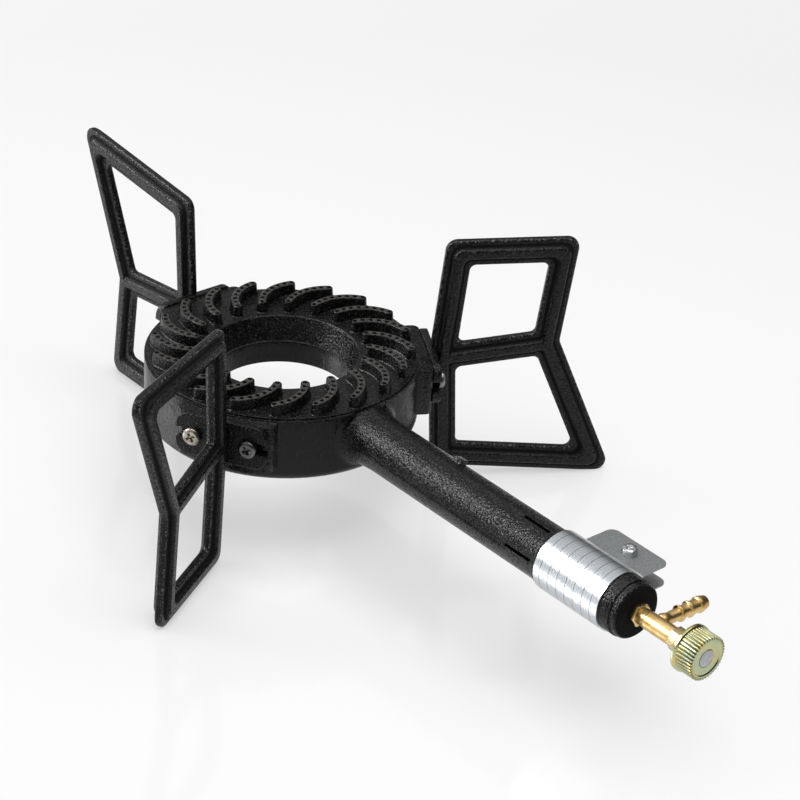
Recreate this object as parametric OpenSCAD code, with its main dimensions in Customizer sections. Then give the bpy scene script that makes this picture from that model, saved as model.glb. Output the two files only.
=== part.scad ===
// High pressure gas burner: a cast-iron ring head with a mixing tube, three bolted pot-rest legs,
// a sliding air band and a brass needle valve with a hose tail. Millimetres, +Z up, the tube along -Y.

/* [Head] */
// Outer diameter of the ring
ring_d = 163; // [152:1:175]
// Height of the ring's outer wall
base_h = 40; // [36:0.5:44]
// Diameter of the lower bore, in the base
bore_d = 81; // [74:1:88]
// Height of the bore's lower edge above the ring's bottom
bore_rise = 11.5; // [8:0.5:13]
// Diameter of the bore at the cover's rim
rim_d = 89.6; // [85:0.2:91]
// Diameter of the bore at the foot of the cover's skirt
skirt_d = 78.4; // [72:0.2:80]
// Depth of the cover's skirt below the cover's top
skirt_h = 15; // [12:0.5:18]
// Thickness of the cover plate
cover_t = 6; // [4:0.5:8]
// Wall thickness of the castings
cast_wall = 4; // [3:0.25:5]
// Cover's top above the base's rim
cover_proud = 1; // [0.5:0.1:2]
// Cover's top above the leg screws
cover_above_screws = 13.5; // [12.5:0.5:18]
// Radius of the ring's lower edge
ring_edge_r = 6; // [3:0.5:8]

/* [Ribs and flame ports] */
// Number of curved ribs
rib_count = 20; // [14:1:22]
// Bearing of the first rib, in degrees
rib_phase = -4.7; // [-9:0.1:9]
// Width of a rib
rib_w = 5.3; // [4:0.1:6]
// Height of a rib above the cover
rib_h = 7.0; // [4:0.2:8]
// Diameter on which the ribs' inner ends lie
rib_in_d = 96.6; // [95:0.2:99]
// Diameter on which the ribs' outer ends lie
rib_out_d = 153; // [146:1:155]
// Turn of a rib round the ring between its ends, in degrees
rib_sweep = 20.5; // [12:0.5:24]
// Radius of a rib's own curve
rib_arc_r = 26; // [24:0.5:40]
// Flame ports along each rib
ports_per_rib = 8; // [5:1:9]
// Diameter of a flame port
port_d = 2; // [1.4:0.1:2.4]

/* [Mixing tube] */
// Outer diameter of the tube
tube_d = 31.6; // [29:0.2:32]
// Bore of the tube
tube_bore_d = 23.6; // [20:0.2:25]
// Tube axis below the leg screws
tube_drop = 4.7; // [3:0.1:6]
// Ring axis to the tube's end face
tube_reach = 302; // [280:1:340]
// Diameter of the journal that the air band slides on
journal_d = 33.4; // [33:0.1:35]
// Length of that journal, up to the end face
journal_len = 63.5; // [63:0.5:76]
// Thickness of the tube's end wall
end_wall = 8; // [6:0.5:10]
// Width of an air slit
slit_w = 2; // [1.5:0.1:3]
// Length of an air slit
slit_len = 20; // [14:1:26]
// Number of air slits round the tube
slit_count = 5; // [3:1:6]
// Turn of the first air slit from the top, in degrees
slit_turn = 9; // [0:1:30]
// Metal left between the slits and the journal
slit_margin = 2.5; // [2:0.5:6]
// Height of the parting-line ridge along the tube
parting_t = 1.4; // [1:0.1:2]
// How far that ridge stands out
parting_proud = 0.6; // [0.3:0.1:1]
// Side of the stub left by the casting gate
gate_size = 6; // [4:0.5:8]
// How far the gate stub stands out
gate_proud = 2.5; // [1.5:0.5:4]
// Ring axis to the gate stub
gate_reach = 152; // [120:1:180]
// Lean of the gate stub from the top, in degrees
gate_lean = 25; // [0:1:40]

/* [Legs] */
// Overall height of a leg
leg_h = 160; // [150:1:180]
// Height of the leg screws above the floor
screw_z = 77; // [72:0.5:88]
// Width of a leg's bars
bar_w = 16; // [14:0.5:18]
// Thickness of the bars at their edges
flange_t = 4.6; // [3.5:0.1:6]
// Width of the bead's foot along the middle of each bar
bead_foot_w = 8.6; // [7:0.2:10]
// Width of the bead's crest
bead_w = 5.4; // [4:0.2:6.5]
// Thickness of a leg over its beads
bead_t = 10.6; // [8:0.2:13]
// Reach of the wide end from the ring's axis
wide_reach = 208; // [195:1:225]
// Reach of the narrow end from the ring's axis
narrow_reach = 174; // [160:1:185]
// Reach of the waist from the ring's axis
waist_reach = 167; // [158:1:175]
// Waist towards the narrow end from the middle of the leg
waist_drop = 10; // [6:1:14]
// Fall of the wide end's bar from its tip to its root
wide_fall = 9; // [6:0.5:12]
// Height of the tip that is ground flat on the wide end
tip_grind = 1.2; // [0.8:0.1:2]
// Outer corner radius of a leg
leg_corner_r = 7; // [5:0.5:9]
// Corner radius of a leg's windows
window_r = 4; // [2:0.5:6]

/* [Leg fixings] */
// Ring axis to the flat face of a leg pad
pad_reach = 86; // [84.5:0.5:90]
// Width of a leg pad
pad_w = 58; // [56:1:66]
// Height of a leg pad
pad_h = 29; // [27:0.5:30]
// Leg screws above the middle of their pad
pad_offset = 2.5; // [1:0.5:3]
// Width of a leg's ear plate
ear_w = 55; // [52:1:56]
// Height of a leg's ear plate
ear_h = 26.5; // [23:0.5:27]
// Thickness of a leg's ear plate
ear_t = 5; // [4:0.5:6]
// Thread of the leg screws
screw_d = 6; // [5:0.5:6]
// Length of a leg screw under its head
screw_len = 12; // [11:0.5:13]
// Distance between a leg's two screws
screw_span = 34; // [33:0.5:38]
// Head diameter of a leg screw
screw_head_d = 10.6; // [9.5:0.1:12]
// Head height of a leg screw
screw_head_h = 3.4; // [2.8:0.1:4]

/* [Air band] */
// Length of the band along the tube
band_len = 48.5; // [44:0.5:50]
// Tube's end face to the band's near edge
band_setback = 12.5; // [12:0.5:14]
// Thickness of the band's sheet
sheet_t = 0.9; // [0.7:0.1:1.2]
// Distance between the two ears
ear_gap = 11; // [8:0.5:14]
// Tube axis to the ears' outer edge
ear_reach = 39.6; // [36:0.2:43]
// Band's far edge to the ears
ear_inset_back = 0.8; // [0.4:0.2:4]
// Band's near edge to the ears
ear_inset_front = 4; // [1:0.2:6]
// Corner radius of the ears
ear_corner_r = 5; // [3:0.5:7]
// Thread of the clamp bolt
clamp_d = 5; // [4:0.5:6]
// Across flats of the clamp bolt's head and nut
clamp_af = 8; // [8:0.5:10]
// Tube axis to the clamp bolt
clamp_reach = 29; // [27:0.2:31]
// Height of the clamp bolt's head and of its nut
clamp_head_h = 3.6; // [3:0.1:5]

/* [Valve] */
// Diameter of the valve's neck
neck_d = 8.6; // [8:0.1:9.4]
// Length of the neck outside the end face
neck_len = 7.6; // [6.6:0.2:10]
// Diameter of the valve body
body_d = 10.4; // [10:0.1:12]
// Length of the valve body
body_len = 20; // [18:0.5:24]
// Across flats of the lock nut
lock_af = 11.8; // [11:0.1:14]
// Thickness of the lock nut
lock_h = 3.6; // [3:0.1:5]
// Across flats of the gland nut
gland_af = 11.6; // [11:0.1:13]
// Length of the gland nut's hexagon
gland_h = 7.4; // [5:0.1:10]
// Length of the gland nut's thread in the body
gland_thread = 3.4; // [2.5:0.1:4]
// Height of the stem packing
packing_h = 1.8; // [1.2:0.1:2.5]
// Thickness of the ring under the packing
packing_ring_h = 0.8; // [0.6:0.1:1]
// Diameter of the spindle
spindle_d = 4.4; // [4:0.1:4.8]
// Bore of the valve seat
seat_d = 2.6; // [2:0.1:3]
// Bore of the neck's gas way
gasway_d = 3; // [2.6:0.1:3.4]
// Length of the injector jet ahead of the neck
jet_len = 26; // [16:1:34]
// Diameter of the injector jet
jet_d = 7; // [6.4:0.1:8]
// Orifice of the injector jet
orifice_d = 1; // [0.6:0.1:1.4]

/* [Hose tail] */
// Diameter over the hose tail's ridges
ridge_d = 9.4; // [8.4:0.1:10]
// Diameter between the ridges
tail_core_d = 6.2; // [5.6:0.1:7]
// Bore of the hose tail
tail_bore_d = 3.6; // [3:0.1:4.2]
// Valve axis to the hose tail's end
tail_reach = 36.8; // [34:0.2:42]
// Number of ridges
ridge_count = 3; // [2:1:3]
// Distance between ridges
ridge_pitch = 6.7; // [6:0.1:7.2]

/* [Knob] */
// Diameter of the knob over its flutes
knob_d = 25.2; // [22:0.2:30]
// Diameter of the knob's back flange
knob_flange_d = 27; // [25.6:0.2:32]
// Length of the knob
knob_len = 13; // [11:0.5:16]
// Number of flutes round the knob
flute_count = 40; // [30:1:44]
// Width of a flute
flute_w = 1.3; // [1:0.1:1.4]
// Diameter of the disc in the knob's face
knob_disc_d = 9.8; // [8:0.2:12]
// Gap between the gland nut and the closed knob
knob_gap = 2.8; // [1:0.1:4]

/* [Fits] */
// Radial clearance of fitted and running parts
fit_gap = 0.05; // [0.03:0.01:0.08]
// Clearance round the cover in its seat
seat_gap = 0.3; // [0.2:0.05:0.5]
// Clearance of the screws in the legs' notches
notch_gap = 0.5; // [0.3:0.05:0.8]

/* [Hidden] */
$fn = 64;
eps = 0.02;

// Heights, from the floor up
cover_top_z = screw_z + cover_above_screws;
rim_z = cover_top_z - cover_proud;
ring_bottom_z = rim_z - base_h;
ledge_z = cover_top_z - cover_t;
seam_z = cover_top_z - skirt_h;
bore_bottom_z = ring_bottom_z + bore_rise;
tube_z = screw_z - tube_drop;
pad_bottom_z = screw_z - pad_offset - pad_h / 2;

// Radii of the head
ring_r = ring_d / 2;
bore_r = bore_d / 2;
inner_wall_r = bore_r + cast_wall;
rebate_w = 2.4;
seat_r = ring_r - rebate_w;
cover_r = seat_r - seat_gap;
chamber_r = ring_r - cast_wall - rebate_w + 1;
rim_bevel = 1.4;
floor_t = cast_wall;

// Bearings of the legs round the ring, the first behind, and which of them is turned over
rear_bearing = 90;
right_bearing = -30;
left_bearing = -150;
leg_bearings = [rear_bearing, right_bearing, left_bearing];

// Stations along the valve, measured outwards from the tube's end face
body_start = neck_len;
body_end = body_start + body_len;
gland_end = body_end + gland_h;
gland_tip = body_end - gland_thread;
packing_start = gland_tip - packing_h;
counterbore_start = packing_start - packing_ring_h;
tail_station = body_start + 5.6;
seat_station = body_start - 1.6;
neck_inner = end_wall + 1;
knob_back = gland_end + knob_gap;
knob_front = knob_back + knob_len;
disc_t = 1.6;
disc_sink = 0.4;
spindle_end = knob_front - disc_sink - disc_t - 0.5;
chamber_d = spindle_d + 2;
counterbore_d = chamber_d + 1.2;

// Stations along the tube, measured from the ring's axis
journal_start = tube_reach - journal_len;
band_front = tube_reach - band_setback;
band_back = band_front - band_len;
slit_end = journal_start - slit_margin;
band_r = journal_d / 2 + fit_gap;
clamp_station = (band_front + band_back) / 2;

// Middle lines of a leg's bars: x is the reach from the ring's axis, y the height over its middle
leg_half = leg_h / 2;
bar_half = bar_w / 2;
ear_face = pad_reach + ear_t;
root_x = ear_face - 3 + bar_half;
wide_tip = [wide_reach - bar_half * 1.65, leg_half + tip_grind - bar_half * 1.05];
wide_root = [root_x + 4, wide_tip[1] - wide_fall];
waist = [waist_reach - bar_half, -waist_drop];
narrow_tip = [narrow_reach - bar_half, bar_half - leg_half];
narrow_root = [root_x + 6, bar_half - leg_half];
ear_root = [root_x, -waist_drop * 0.3];
leg_loop = [ear_root, narrow_root, narrow_tip, waist, wide_tip, wide_root];
wide_loop = [ear_root, waist, wide_tip, wide_root];
narrow_loop = [ear_root, narrow_root, narrow_tip, waist];

function unit(v) = v / norm(v);
function turn_of(a, b) = a[0] * b[1] - a[1] * b[0];
function meet(p, d, q, e) = p + d * turn_of(q - p, e) / turn_of(d, e);
function wrapped(a) = a - 360 * floor((a + 180) / 360);

// An anticlockwise outline with every side moved outwards by a distance
function shifted(pts, d) = let (n = len(pts)) [
    for (i = [0 : n - 1])
        let (
            u = unit(pts[i] - pts[(i + n - 1) % n]),
            v = unit(pts[(i + 1) % n] - pts[i])
        )
        meet(pts[i] + d * [u[1], -u[0]], u, pts[i] + d * [v[1], -v[0]], v)
];

// An outline with every corner turned into an arc
function rounded(pts, r, steps = 5) = let (n = len(pts)) [
    for (i = [0 : n - 1])
        let (
            p = pts[i],
            u = unit(pts[(i + n - 1) % n] - p),
            v = unit(pts[(i + 1) % n] - p),
            half = acos(u * v) / 2,
            centre = p + unit(u + v) * r / sin(half),
            from = p + u * r / tan(half) - centre,
            to = p + v * r / tan(half) - centre,
            start = atan2(from[1], from[0]),
            sweep = wrapped(atan2(to[1], to[0]) - start)
        )
        for (k = [0 : steps])
            centre + r * [cos(start + sweep * k / steps), sin(start + sweep * k / steps)]
];

function box_outline(x0, y0, x1, y1) = [[x0, y0], [x1, y0], [x1, y1], [x0, y1]];

leg_outline = rounded(shifted(leg_loop, bar_half), leg_corner_r);

// Part's place: the middle of its plan over the origin
rear_reach = max([for (p = leg_outline) p[0]]);
front_reach = tube_reach + knob_front;
centre_y = (rear_reach - front_reach) / 2;

module placed() {
    translate([0, -centre_y, 0]) children();
}

// Turns a shape made along +Z so that it runs forwards along the tube's axis
module along_tube(station = 0) {
    translate([0, -station, tube_z]) rotate([90, 0, 0]) children();
}

module along_valve(station = 0) {
    along_tube(tube_reach + station) children();
}

module hexagon(across_flats, h) {
    cylinder(d = across_flats / cos(30), h = h, $fn = 6);
}

// Cross recess of a screw head, cut down from the head's top
module cross_recess(size, depth) {
    for (a = [0, 90])
        rotate(a) translate([-size / 2, -size * 0.14, -depth]) cube([size, size * 0.28, depth + 1]);
}

// Head
module ring_blank() {
    edge = [
        for (a = [-90 : 18 : 0])
            [ring_r - ring_edge_r + ring_edge_r * cos(a), ring_bottom_z + ring_edge_r + ring_edge_r * sin(a)]
    ];
    rotate_extrude($fn = 128)
        polygon(concat([[bore_r, bore_bottom_z]], edge, [[ring_r, rim_z], [bore_r, rim_z]]));
}

module leg_pads() {
    inner = ring_r - 22;
    for (a = leg_bearings)
        rotate(a) translate([0, 0, pad_bottom_z]) linear_extrude(pad_h)
            polygon(rounded(box_outline(inner, -pad_w / 2, pad_reach, pad_w / 2), 4));
}

module tube_blank() {
    root_r = tube_d / 2 + 1.6;
    chamfer = 1.4;
    collar = 5;
    along_tube() rotate_extrude($fn = 96) polygon([
        [0, ring_r - 22],
        [root_r, ring_r - 22],
        [root_r, ring_r - 2],
        [tube_d / 2, ring_r + 16],
        [tube_d / 2, journal_start - 2],
        [journal_d / 2, journal_start],
        [journal_d / 2, tube_reach - collar],
        [journal_d / 2 - 0.8, tube_reach - collar],
        [journal_d / 2 - 0.8, tube_reach - chamfer],
        [journal_d / 2 - 0.8 - chamfer, tube_reach],
        [0, tube_reach]
    ]);
    ridge_r = tube_d / 2 + parting_proud;
    ridge_from = ring_r - 4;
    ridge_to = slit_end - slit_len - 4;
    translate([-ridge_r, -ridge_to, tube_z - parting_t / 2])
        cube([2 * ridge_r, ridge_to - ridge_from, parting_t]);
    translate([0, -gate_reach, tube_z]) rotate([0, gate_lean, 0])
        translate([-gate_size / 2, -gate_size / 2, 0]) cube([gate_size, gate_size, tube_d / 2 + gate_proud]);
}

// Gas chamber, with the step that the cover lies on
module head_hollow() {
    top = cover_top_z + 10;
    rotate_extrude($fn = 128) polygon([
        [inner_wall_r, bore_bottom_z + floor_t],
        [chamber_r, ring_bottom_z + floor_t + 1.5],
        [chamber_r, ledge_z],
        [seat_r, ledge_z],
        [seat_r, top],
        [bore_r - 2, top],
        [bore_r - 2, seam_z],
        [inner_wall_r, seam_z]
    ]);
    translate([0, 0, ring_bottom_z - 1]) cylinder(r = bore_r, h = base_h + 20, $fn = 128);
}

module air_slits() {
    for (k = [0 : slit_count - 1])
        along_tube(slit_end - slit_len) rotate(90 + slit_turn + k * 360 / slit_count)
            translate([tube_bore_d / 2 - 2, -slit_w / 2, 0]) cube([tube_d, slit_w, slit_len]);
}

module tapped_holes() {
    depth = screw_len - ear_t + 1.5;
    for (a = leg_bearings, side = [-1, 1])
        rotate(a) translate([pad_reach + 1, side * screw_span / 2, screw_z]) rotate([0, -90, 0])
            cylinder(d = screw_d + 2 * fit_gap, h = depth + 1);
}

module burner_base() {
    color("#2b2b2c") placed() difference() {
        union() {
            ring_blank();
            leg_pads();
            tube_blank();
        }
        head_hollow();
        along_tube(chamber_r - 8) cylinder(d = tube_bore_d, h = tube_reach - end_wall - chamber_r + 8);
        along_tube(tube_reach - end_wall - 1) cylinder(d = neck_d + 2 * fit_gap, h = end_wall + 2);
        air_slits();
        tapped_holes();
    }
}

// A rib's ends and the middle of its curve, for the rib that starts on +X
rib_from = [rib_in_d / 2, 0];
rib_to = rib_out_d / 2 * [cos(rib_sweep), -sin(rib_sweep)];
rib_chord = rib_to - rib_from;
rib_rise = sqrt(pow(rib_arc_r, 2) - pow(norm(rib_chord) / 2, 2));
rib_centre = (rib_from + rib_to) / 2 + rib_rise * unit([rib_chord[1], -rib_chord[0]]);
rib_start = atan2(rib_from[1] - rib_centre[1], rib_from[0] - rib_centre[0]);
rib_turn = 2 * asin(norm(rib_chord) / 2 / rib_arc_r);

module rib() {
    sink = 0.5;
    translate([rib_centre[0], rib_centre[1], cover_top_z - sink]) rotate(rib_start - rib_turn)
        rotate_extrude(angle = rib_turn, $fn = 96)
            translate([rib_arc_r - rib_w / 2, 0]) square([rib_w, rib_h + sink]);
}

module rib_ports() {
    margin = 0.55 / ports_per_rib;
    for (k = [0 : ports_per_rib - 1]) {
        share = margin + (1 - 2 * margin) * k / (ports_per_rib - 1);
        a = rib_start - rib_turn * share;
        translate([rib_centre[0] + rib_arc_r * cos(a), rib_centre[1] + rib_arc_r * sin(a), ledge_z - 4])
            cylinder(d = port_d, h = cover_t + rib_h + 8, $fn = 16);
    }
}

module burner_cover() {
    skirt_outer_r = inner_wall_r - seat_gap;
    color("#333334") placed() difference() {
        union() {
            rotate_extrude($fn = 128) polygon([
                [skirt_d / 2, seam_z],
                [skirt_outer_r, seam_z],
                [skirt_outer_r + 5, ledge_z],
                [cover_r, ledge_z],
                [cover_r, cover_top_z],
                [rim_d / 2 + rim_bevel, cover_top_z],
                [rim_d / 2, cover_top_z - rim_bevel]
            ]);
            for (k = [0 : rib_count - 1])
                rotate(rib_phase + k * 360 / rib_count) rib();
        }
        for (k = [0 : rib_count - 1])
            rotate(rib_phase + k * 360 / rib_count) rib_ports();
    }
}

// Legs
module leg_frame(width, corner_r) {
    difference() {
        polygon(rounded(shifted(leg_loop, width / 2), corner_r));
        polygon(rounded(shifted(wide_loop, -width / 2), window_r));
        polygon(rounded(shifted(narrow_loop, -width / 2), window_r));
    }
}

module ear_plate() {
    notch = screw_d + 2 * notch_gap;
    rotate([90, 0, 90]) translate([0, 0, pad_reach]) difference() {
        linear_extrude(ear_t)
            polygon(rounded(box_outline(-ear_w / 2, -ear_h / 2, ear_w / 2, ear_h / 2), 7));
        for (side = [-1, 1])
            translate([side * screw_span / 2, 0, -1]) {
                cylinder(d = notch, h = ear_t + 2);
                translate([side > 0 ? 0 : -ear_w, -notch / 2, 0]) cube([ear_w, notch, ear_t + 2]);
            }
    }
}

// One leg, standing on +X from the floor up, with its wide end up or down
module leg_casting(turned) {
    mid_t = (flange_t + bead_t) / 2;
    union() {
        translate([0, 0, leg_half]) rotate([turned ? -90 : 90, 0, 0]) intersection() {
            union() {
                linear_extrude(flange_t, center = true) leg_frame(bar_w, leg_corner_r);
                linear_extrude(mid_t, center = true) leg_frame(bead_foot_w, leg_corner_r - 3);
                linear_extrude(bead_t, center = true) leg_frame(bead_w, leg_corner_r - 4);
            }
            translate([0, -leg_half, -bead_t]) cube([wide_reach * 2, leg_h, bead_t * 2]);
        }
        translate([0, 0, screw_z]) ear_plate();
    }
}

module leg_at(bearing, turned = false) {
    color("#2f2f30") placed() rotate(bearing) leg_casting(turned);
}

module leg_rear() {
    leg_at(rear_bearing);
}

module leg_right() {
    leg_at(right_bearing, true);
}

module leg_left() {
    leg_at(left_bearing);
}

module leg_screws(bearing, tone) {
    dome = 0.9;
    color(tone) placed() rotate(bearing)
        for (side = [-1, 1])
            translate([ear_face, side * screw_span / 2, screw_z]) rotate([0, 90, 0]) difference() {
                union() {
                    translate([0, 0, -screw_len]) cylinder(d = screw_d, h = screw_len + eps);
                    cylinder(d = screw_head_d, h = screw_head_h - dome);
                    translate([0, 0, screw_head_h - dome])
                        cylinder(d1 = screw_head_d, d2 = screw_head_d - 2.6, h = dome);
                }
                translate([0, 0, screw_head_h]) rotate(30) cross_recess(screw_head_d * 0.52, 2);
            }
}

module rear_leg_screws() {
    leg_screws(rear_bearing, "#b9b2a3");
}

module right_leg_screws() {
    leg_screws(right_bearing, "#8a8b8d");
}

module left_leg_screws() {
    leg_screws(left_bearing, "#a7a39a");
}

// Air band
module band_ear(level) {
    outline = box_outline(0, band_back + ear_inset_back, ear_reach, band_front - ear_inset_front);
    translate([0, 0, tube_z + level]) mirror([0, 1, 0]) linear_extrude(sheet_t)
        polygon(rounded(outline, ear_corner_r));
}

module air_band() {
    outer_r = band_r + sheet_t;
    color("#c9ccd0") placed() difference() {
        union() {
            difference() {
                along_tube(band_back) cylinder(r = outer_r, h = band_len, $fn = 96);
                translate([0, -tube_reach, tube_z - ear_gap / 2]) cube([outer_r * 2, tube_reach, ear_gap]);
            }
            band_ear(ear_gap / 2);
            band_ear(-ear_gap / 2 - sheet_t);
        }
        along_tube(band_back - 1) cylinder(r = band_r, h = band_len + 2, $fn = 96);
        translate([clamp_reach, -clamp_station, tube_z - ear_gap]) cylinder(d = clamp_d + 0.5, h = ear_gap * 2);
    }
}

module at_clamp() {
    placed() translate([clamp_reach, -clamp_station, tube_z]) children();
}

module clamp_bolt() {
    face = ear_gap / 2 + sheet_t;
    shank = 2 * face + clamp_head_h + 2;
    bevel = 0.6;
    color("#d7d9da") at_clamp() difference() {
        union() {
            translate([0, 0, face - shank]) cylinder(d = clamp_d, h = shank + eps);
            translate([0, 0, face]) intersection() {
                hexagon(clamp_af, clamp_head_h);
                union() {
                    cylinder(d = clamp_af * 1.2, h = clamp_head_h - bevel);
                    translate([0, 0, clamp_head_h - bevel])
                        cylinder(d1 = clamp_af * 1.2, d2 = clamp_af * 0.95, h = bevel);
                }
            }
        }
        translate([0, 0, face + clamp_head_h]) rotate(15) cross_recess(clamp_af * 0.5, 1.2);
    }
}

module clamp_nut() {
    face = ear_gap / 2 + sheet_t;
    color("#d2d4d5") at_clamp() translate([0, 0, -face - clamp_head_h]) difference() {
        hexagon(clamp_af, clamp_head_h);
        translate([0, 0, -1]) cylinder(d = clamp_d + 2 * fit_gap, h = clamp_head_h + 2);
    }
}

// Valve
module lock_nut() {
    bevel = 0.7;
    color("#d8bb6a") placed() along_valve() difference() {
        intersection() {
            hexagon(lock_af, lock_h);
            union() {
                cylinder(d = lock_af * 1.2, h = lock_h - bevel);
                translate([0, 0, lock_h - bevel])
                    cylinder(d1 = lock_af * 1.2, d2 = lock_af * 0.98, h = bevel);
            }
        }
        translate([0, 0, -1]) cylinder(d = neck_d + 2 * fit_gap, h = lock_h + 2);
    }
}

module tail_bore(d) {
    translate([0, -tube_reach - tail_station, tube_z]) rotate([0, 90, 0]) cylinder(d = d, h = tail_reach);
}

module valve_body() {
    spigot_d = gasway_d + 1.4;
    seat_run = 1.6;
    bevel = 0.8;
    color("#c79a3a") placed() difference() {
        along_valve() rotate_extrude() polygon([
            [0, -neck_inner],
            [neck_d / 2, -neck_inner],
            [neck_d / 2, body_start],
            [body_d / 2 - bevel, body_start],
            [body_d / 2, body_start + bevel],
            [body_d / 2, body_end],
            [0, body_end]
        ]);
        along_valve() rotate_extrude() polygon([
            [0, -neck_inner - 1],
            [spigot_d / 2, -neck_inner - 1],
            [spigot_d / 2, -neck_inner + 5],
            [gasway_d / 2, -neck_inner + 5],
            [gasway_d / 2, seat_station - 3],
            [seat_d / 2, seat_station - 3],
            [seat_d / 2, seat_station],
            [chamber_d / 2, seat_station + seat_run],
            [chamber_d / 2, counterbore_start],
            [counterbore_d / 2, counterbore_start],
            [counterbore_d / 2, body_end + 1],
            [0, body_end + 1]
        ]);
        tail_bore(tail_core_d + 2 * fit_gap);
    }
}

module injector_jet() {
    spigot_d = gasway_d + 1.4 - 2 * fit_gap;
    nose = 6;
    color("#cfa64a") placed() along_valve() difference() {
        rotate_extrude() polygon([
            [0, -neck_inner - jet_len],
            [jet_d * 0.28, -neck_inner - jet_len],
            [jet_d / 2, -neck_inner - jet_len + nose],
            [jet_d / 2, -neck_inner],
            [spigot_d / 2, -neck_inner],
            [spigot_d / 2, -neck_inner + 4.5],
            [0, -neck_inner + 4.5]
        ]);
        translate([0, 0, -neck_inner - jet_len + 3]) cylinder(d = gasway_d, h = jet_len + 4);
        translate([0, 0, -neck_inner - jet_len - 1]) cylinder(d = orifice_d, h = 6);
    }
}

module hose_tail() {
    ridge_run = 2.6;
    land = 1.4;
    collar_r = tail_core_d / 2 + 1;
    collar_end = body_d / 2 + 3.4;
    tip_run = 5.6;
    first = tail_reach - tip_run - ridge_pitch * (ridge_count - 1);
    inner = sqrt(pow(body_d / 2, 2) - pow(tail_core_d / 2, 2)) - 1;
    ridges = [
        for (k = [0 : ridge_count - 1])
            let (x = first + k * ridge_pitch)
            each [
                [tail_core_d / 2, x - land],
                [ridge_d / 2, x - land],
                [ridge_d / 2, x],
                [tail_core_d / 2, x + ridge_run]
            ]
    ];
    color("#c8983a") placed() difference() {
        translate([0, -tube_reach - tail_station, tube_z]) rotate([0, 90, 0]) difference() {
            rotate_extrude() polygon(concat(
                [[0, inner], [tail_core_d / 2, inner], [tail_core_d / 2, 3], [collar_r, 3]],
                [[collar_r, collar_end], [tail_core_d / 2, collar_end + 1]],
                ridges,
                [[tail_core_d / 2, tail_reach - 0.5], [tail_core_d / 2 - 0.5, tail_reach], [0, tail_reach]]
            ));
            translate([0, 0, inner - 1]) cylinder(d = tail_bore_d, h = tail_reach);
        }
        difference() {
            along_valve(body_start - 1) cylinder(d = body_d + 2 * fit_gap, h = body_len + 2);
            tail_bore(tail_core_d + 2 * eps);
        }
    }
}

module gland_nut() {
    bevel = 0.6;
    color("#d9bf78") placed() along_valve() difference() {
        union() {
            translate([0, 0, gland_tip]) cylinder(d = counterbore_d - 2 * fit_gap, h = gland_thread + eps);
            translate([0, 0, body_end]) intersection() {
                hexagon(gland_af, gland_h);
                union() {
                    cylinder(d = gland_af * 1.2, h = gland_h - bevel);
                    translate([0, 0, gland_h - bevel])
                        cylinder(d1 = gland_af * 1.2, d2 = gland_af * 0.98, h = bevel);
                }
            }
        }
        translate([0, 0, gland_tip - 1]) cylinder(d = spindle_d + 2 * fit_gap, h = gland_thread + gland_h + 2);
    }
}

module stem_ring(start, h) {
    placed() along_valve(start) difference() {
        cylinder(d = counterbore_d - 2 * fit_gap, h = h);
        translate([0, 0, -1]) cylinder(d = spindle_d + 2 * fit_gap, h = h + 2);
    }
}

module stem_packing() {
    color("#3a3a3a") stem_ring(packing_start, packing_h);
}

module packing_ring() {
    color("#cda64e") stem_ring(counterbore_start, packing_ring_h);
}

module spindle() {
    tip_r = 0.5;
    slope = 1;
    cone_start = seat_station - (seat_d / 2 - fit_gap - tip_r) / slope;
    cone_end = cone_start + (spindle_d / 2 - tip_r) / slope;
    color("#b9bcc0") placed() along_valve() rotate_extrude() polygon([
        [0, cone_start],
        [tip_r, cone_start],
        [spindle_d / 2, cone_end],
        [spindle_d / 2, spindle_end],
        [0, spindle_end]
    ]);
}

module knob() {
    flange_t = 1.8;
    bevel = 1;
    dish = 0.6;
    dish_r = knob_d / 2 - 2.4;
    color("#c9bd72") placed() along_valve() difference() {
        rotate_extrude($fn = 96) polygon([
            [0, knob_back],
            [knob_flange_d / 2, knob_back],
            [knob_flange_d / 2, knob_back + flange_t],
            [knob_d / 2, knob_back + flange_t + 0.6],
            [knob_d / 2, knob_front - bevel],
            [knob_d / 2 - bevel, knob_front],
            [dish_r, knob_front],
            [dish_r - dish, knob_front - dish],
            [0, knob_front - dish]
        ]);
        for (k = [0 : flute_count - 1])
            rotate(k * 360 / flute_count)
                translate([knob_d / 2 + 0.1, 0, knob_back + flange_t + 0.9]) cylinder(d = flute_w, h = knob_len, $fn = 14);
        translate([0, 0, knob_back - 1]) cylinder(d = spindle_d + 2 * fit_gap, h = knob_len + 2);
        translate([0, 0, knob_front - disc_sink - disc_t]) cylinder(d = knob_disc_d + 2 * fit_gap, h = knob_len);
    }
}

module knob_disc() {
    color("#b3b7b6") placed() along_valve(knob_front - disc_sink - disc_t) cylinder(d = knob_disc_d, h = disc_t);
}

burner_base();
burner_cover();
leg_rear();
leg_right();
leg_left();
rear_leg_screws();
right_leg_screws();
left_leg_screws();
air_band();
clamp_bolt();
clamp_nut();
lock_nut();
valve_body();
injector_jet();
hose_tail();
gland_nut();
stem_packing();
packing_ring();
spindle();
knob();
knob_disc();
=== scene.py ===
"""Looks of a high pressure gas burner: black cast iron, zinc sheet, brass valve and a passivated knob.

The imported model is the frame. Sizes in this file are millimetres about the ring's axis, +Z up from the floor
and the tube along -Y, and each surface is moved to the frame's metres when its mesh is made.
"""

import logging
import math
from dataclasses import dataclass, field, replace
from enum import Enum

import bmesh
import bpy
import numpy as np
from mathutils import Matrix, Vector


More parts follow.
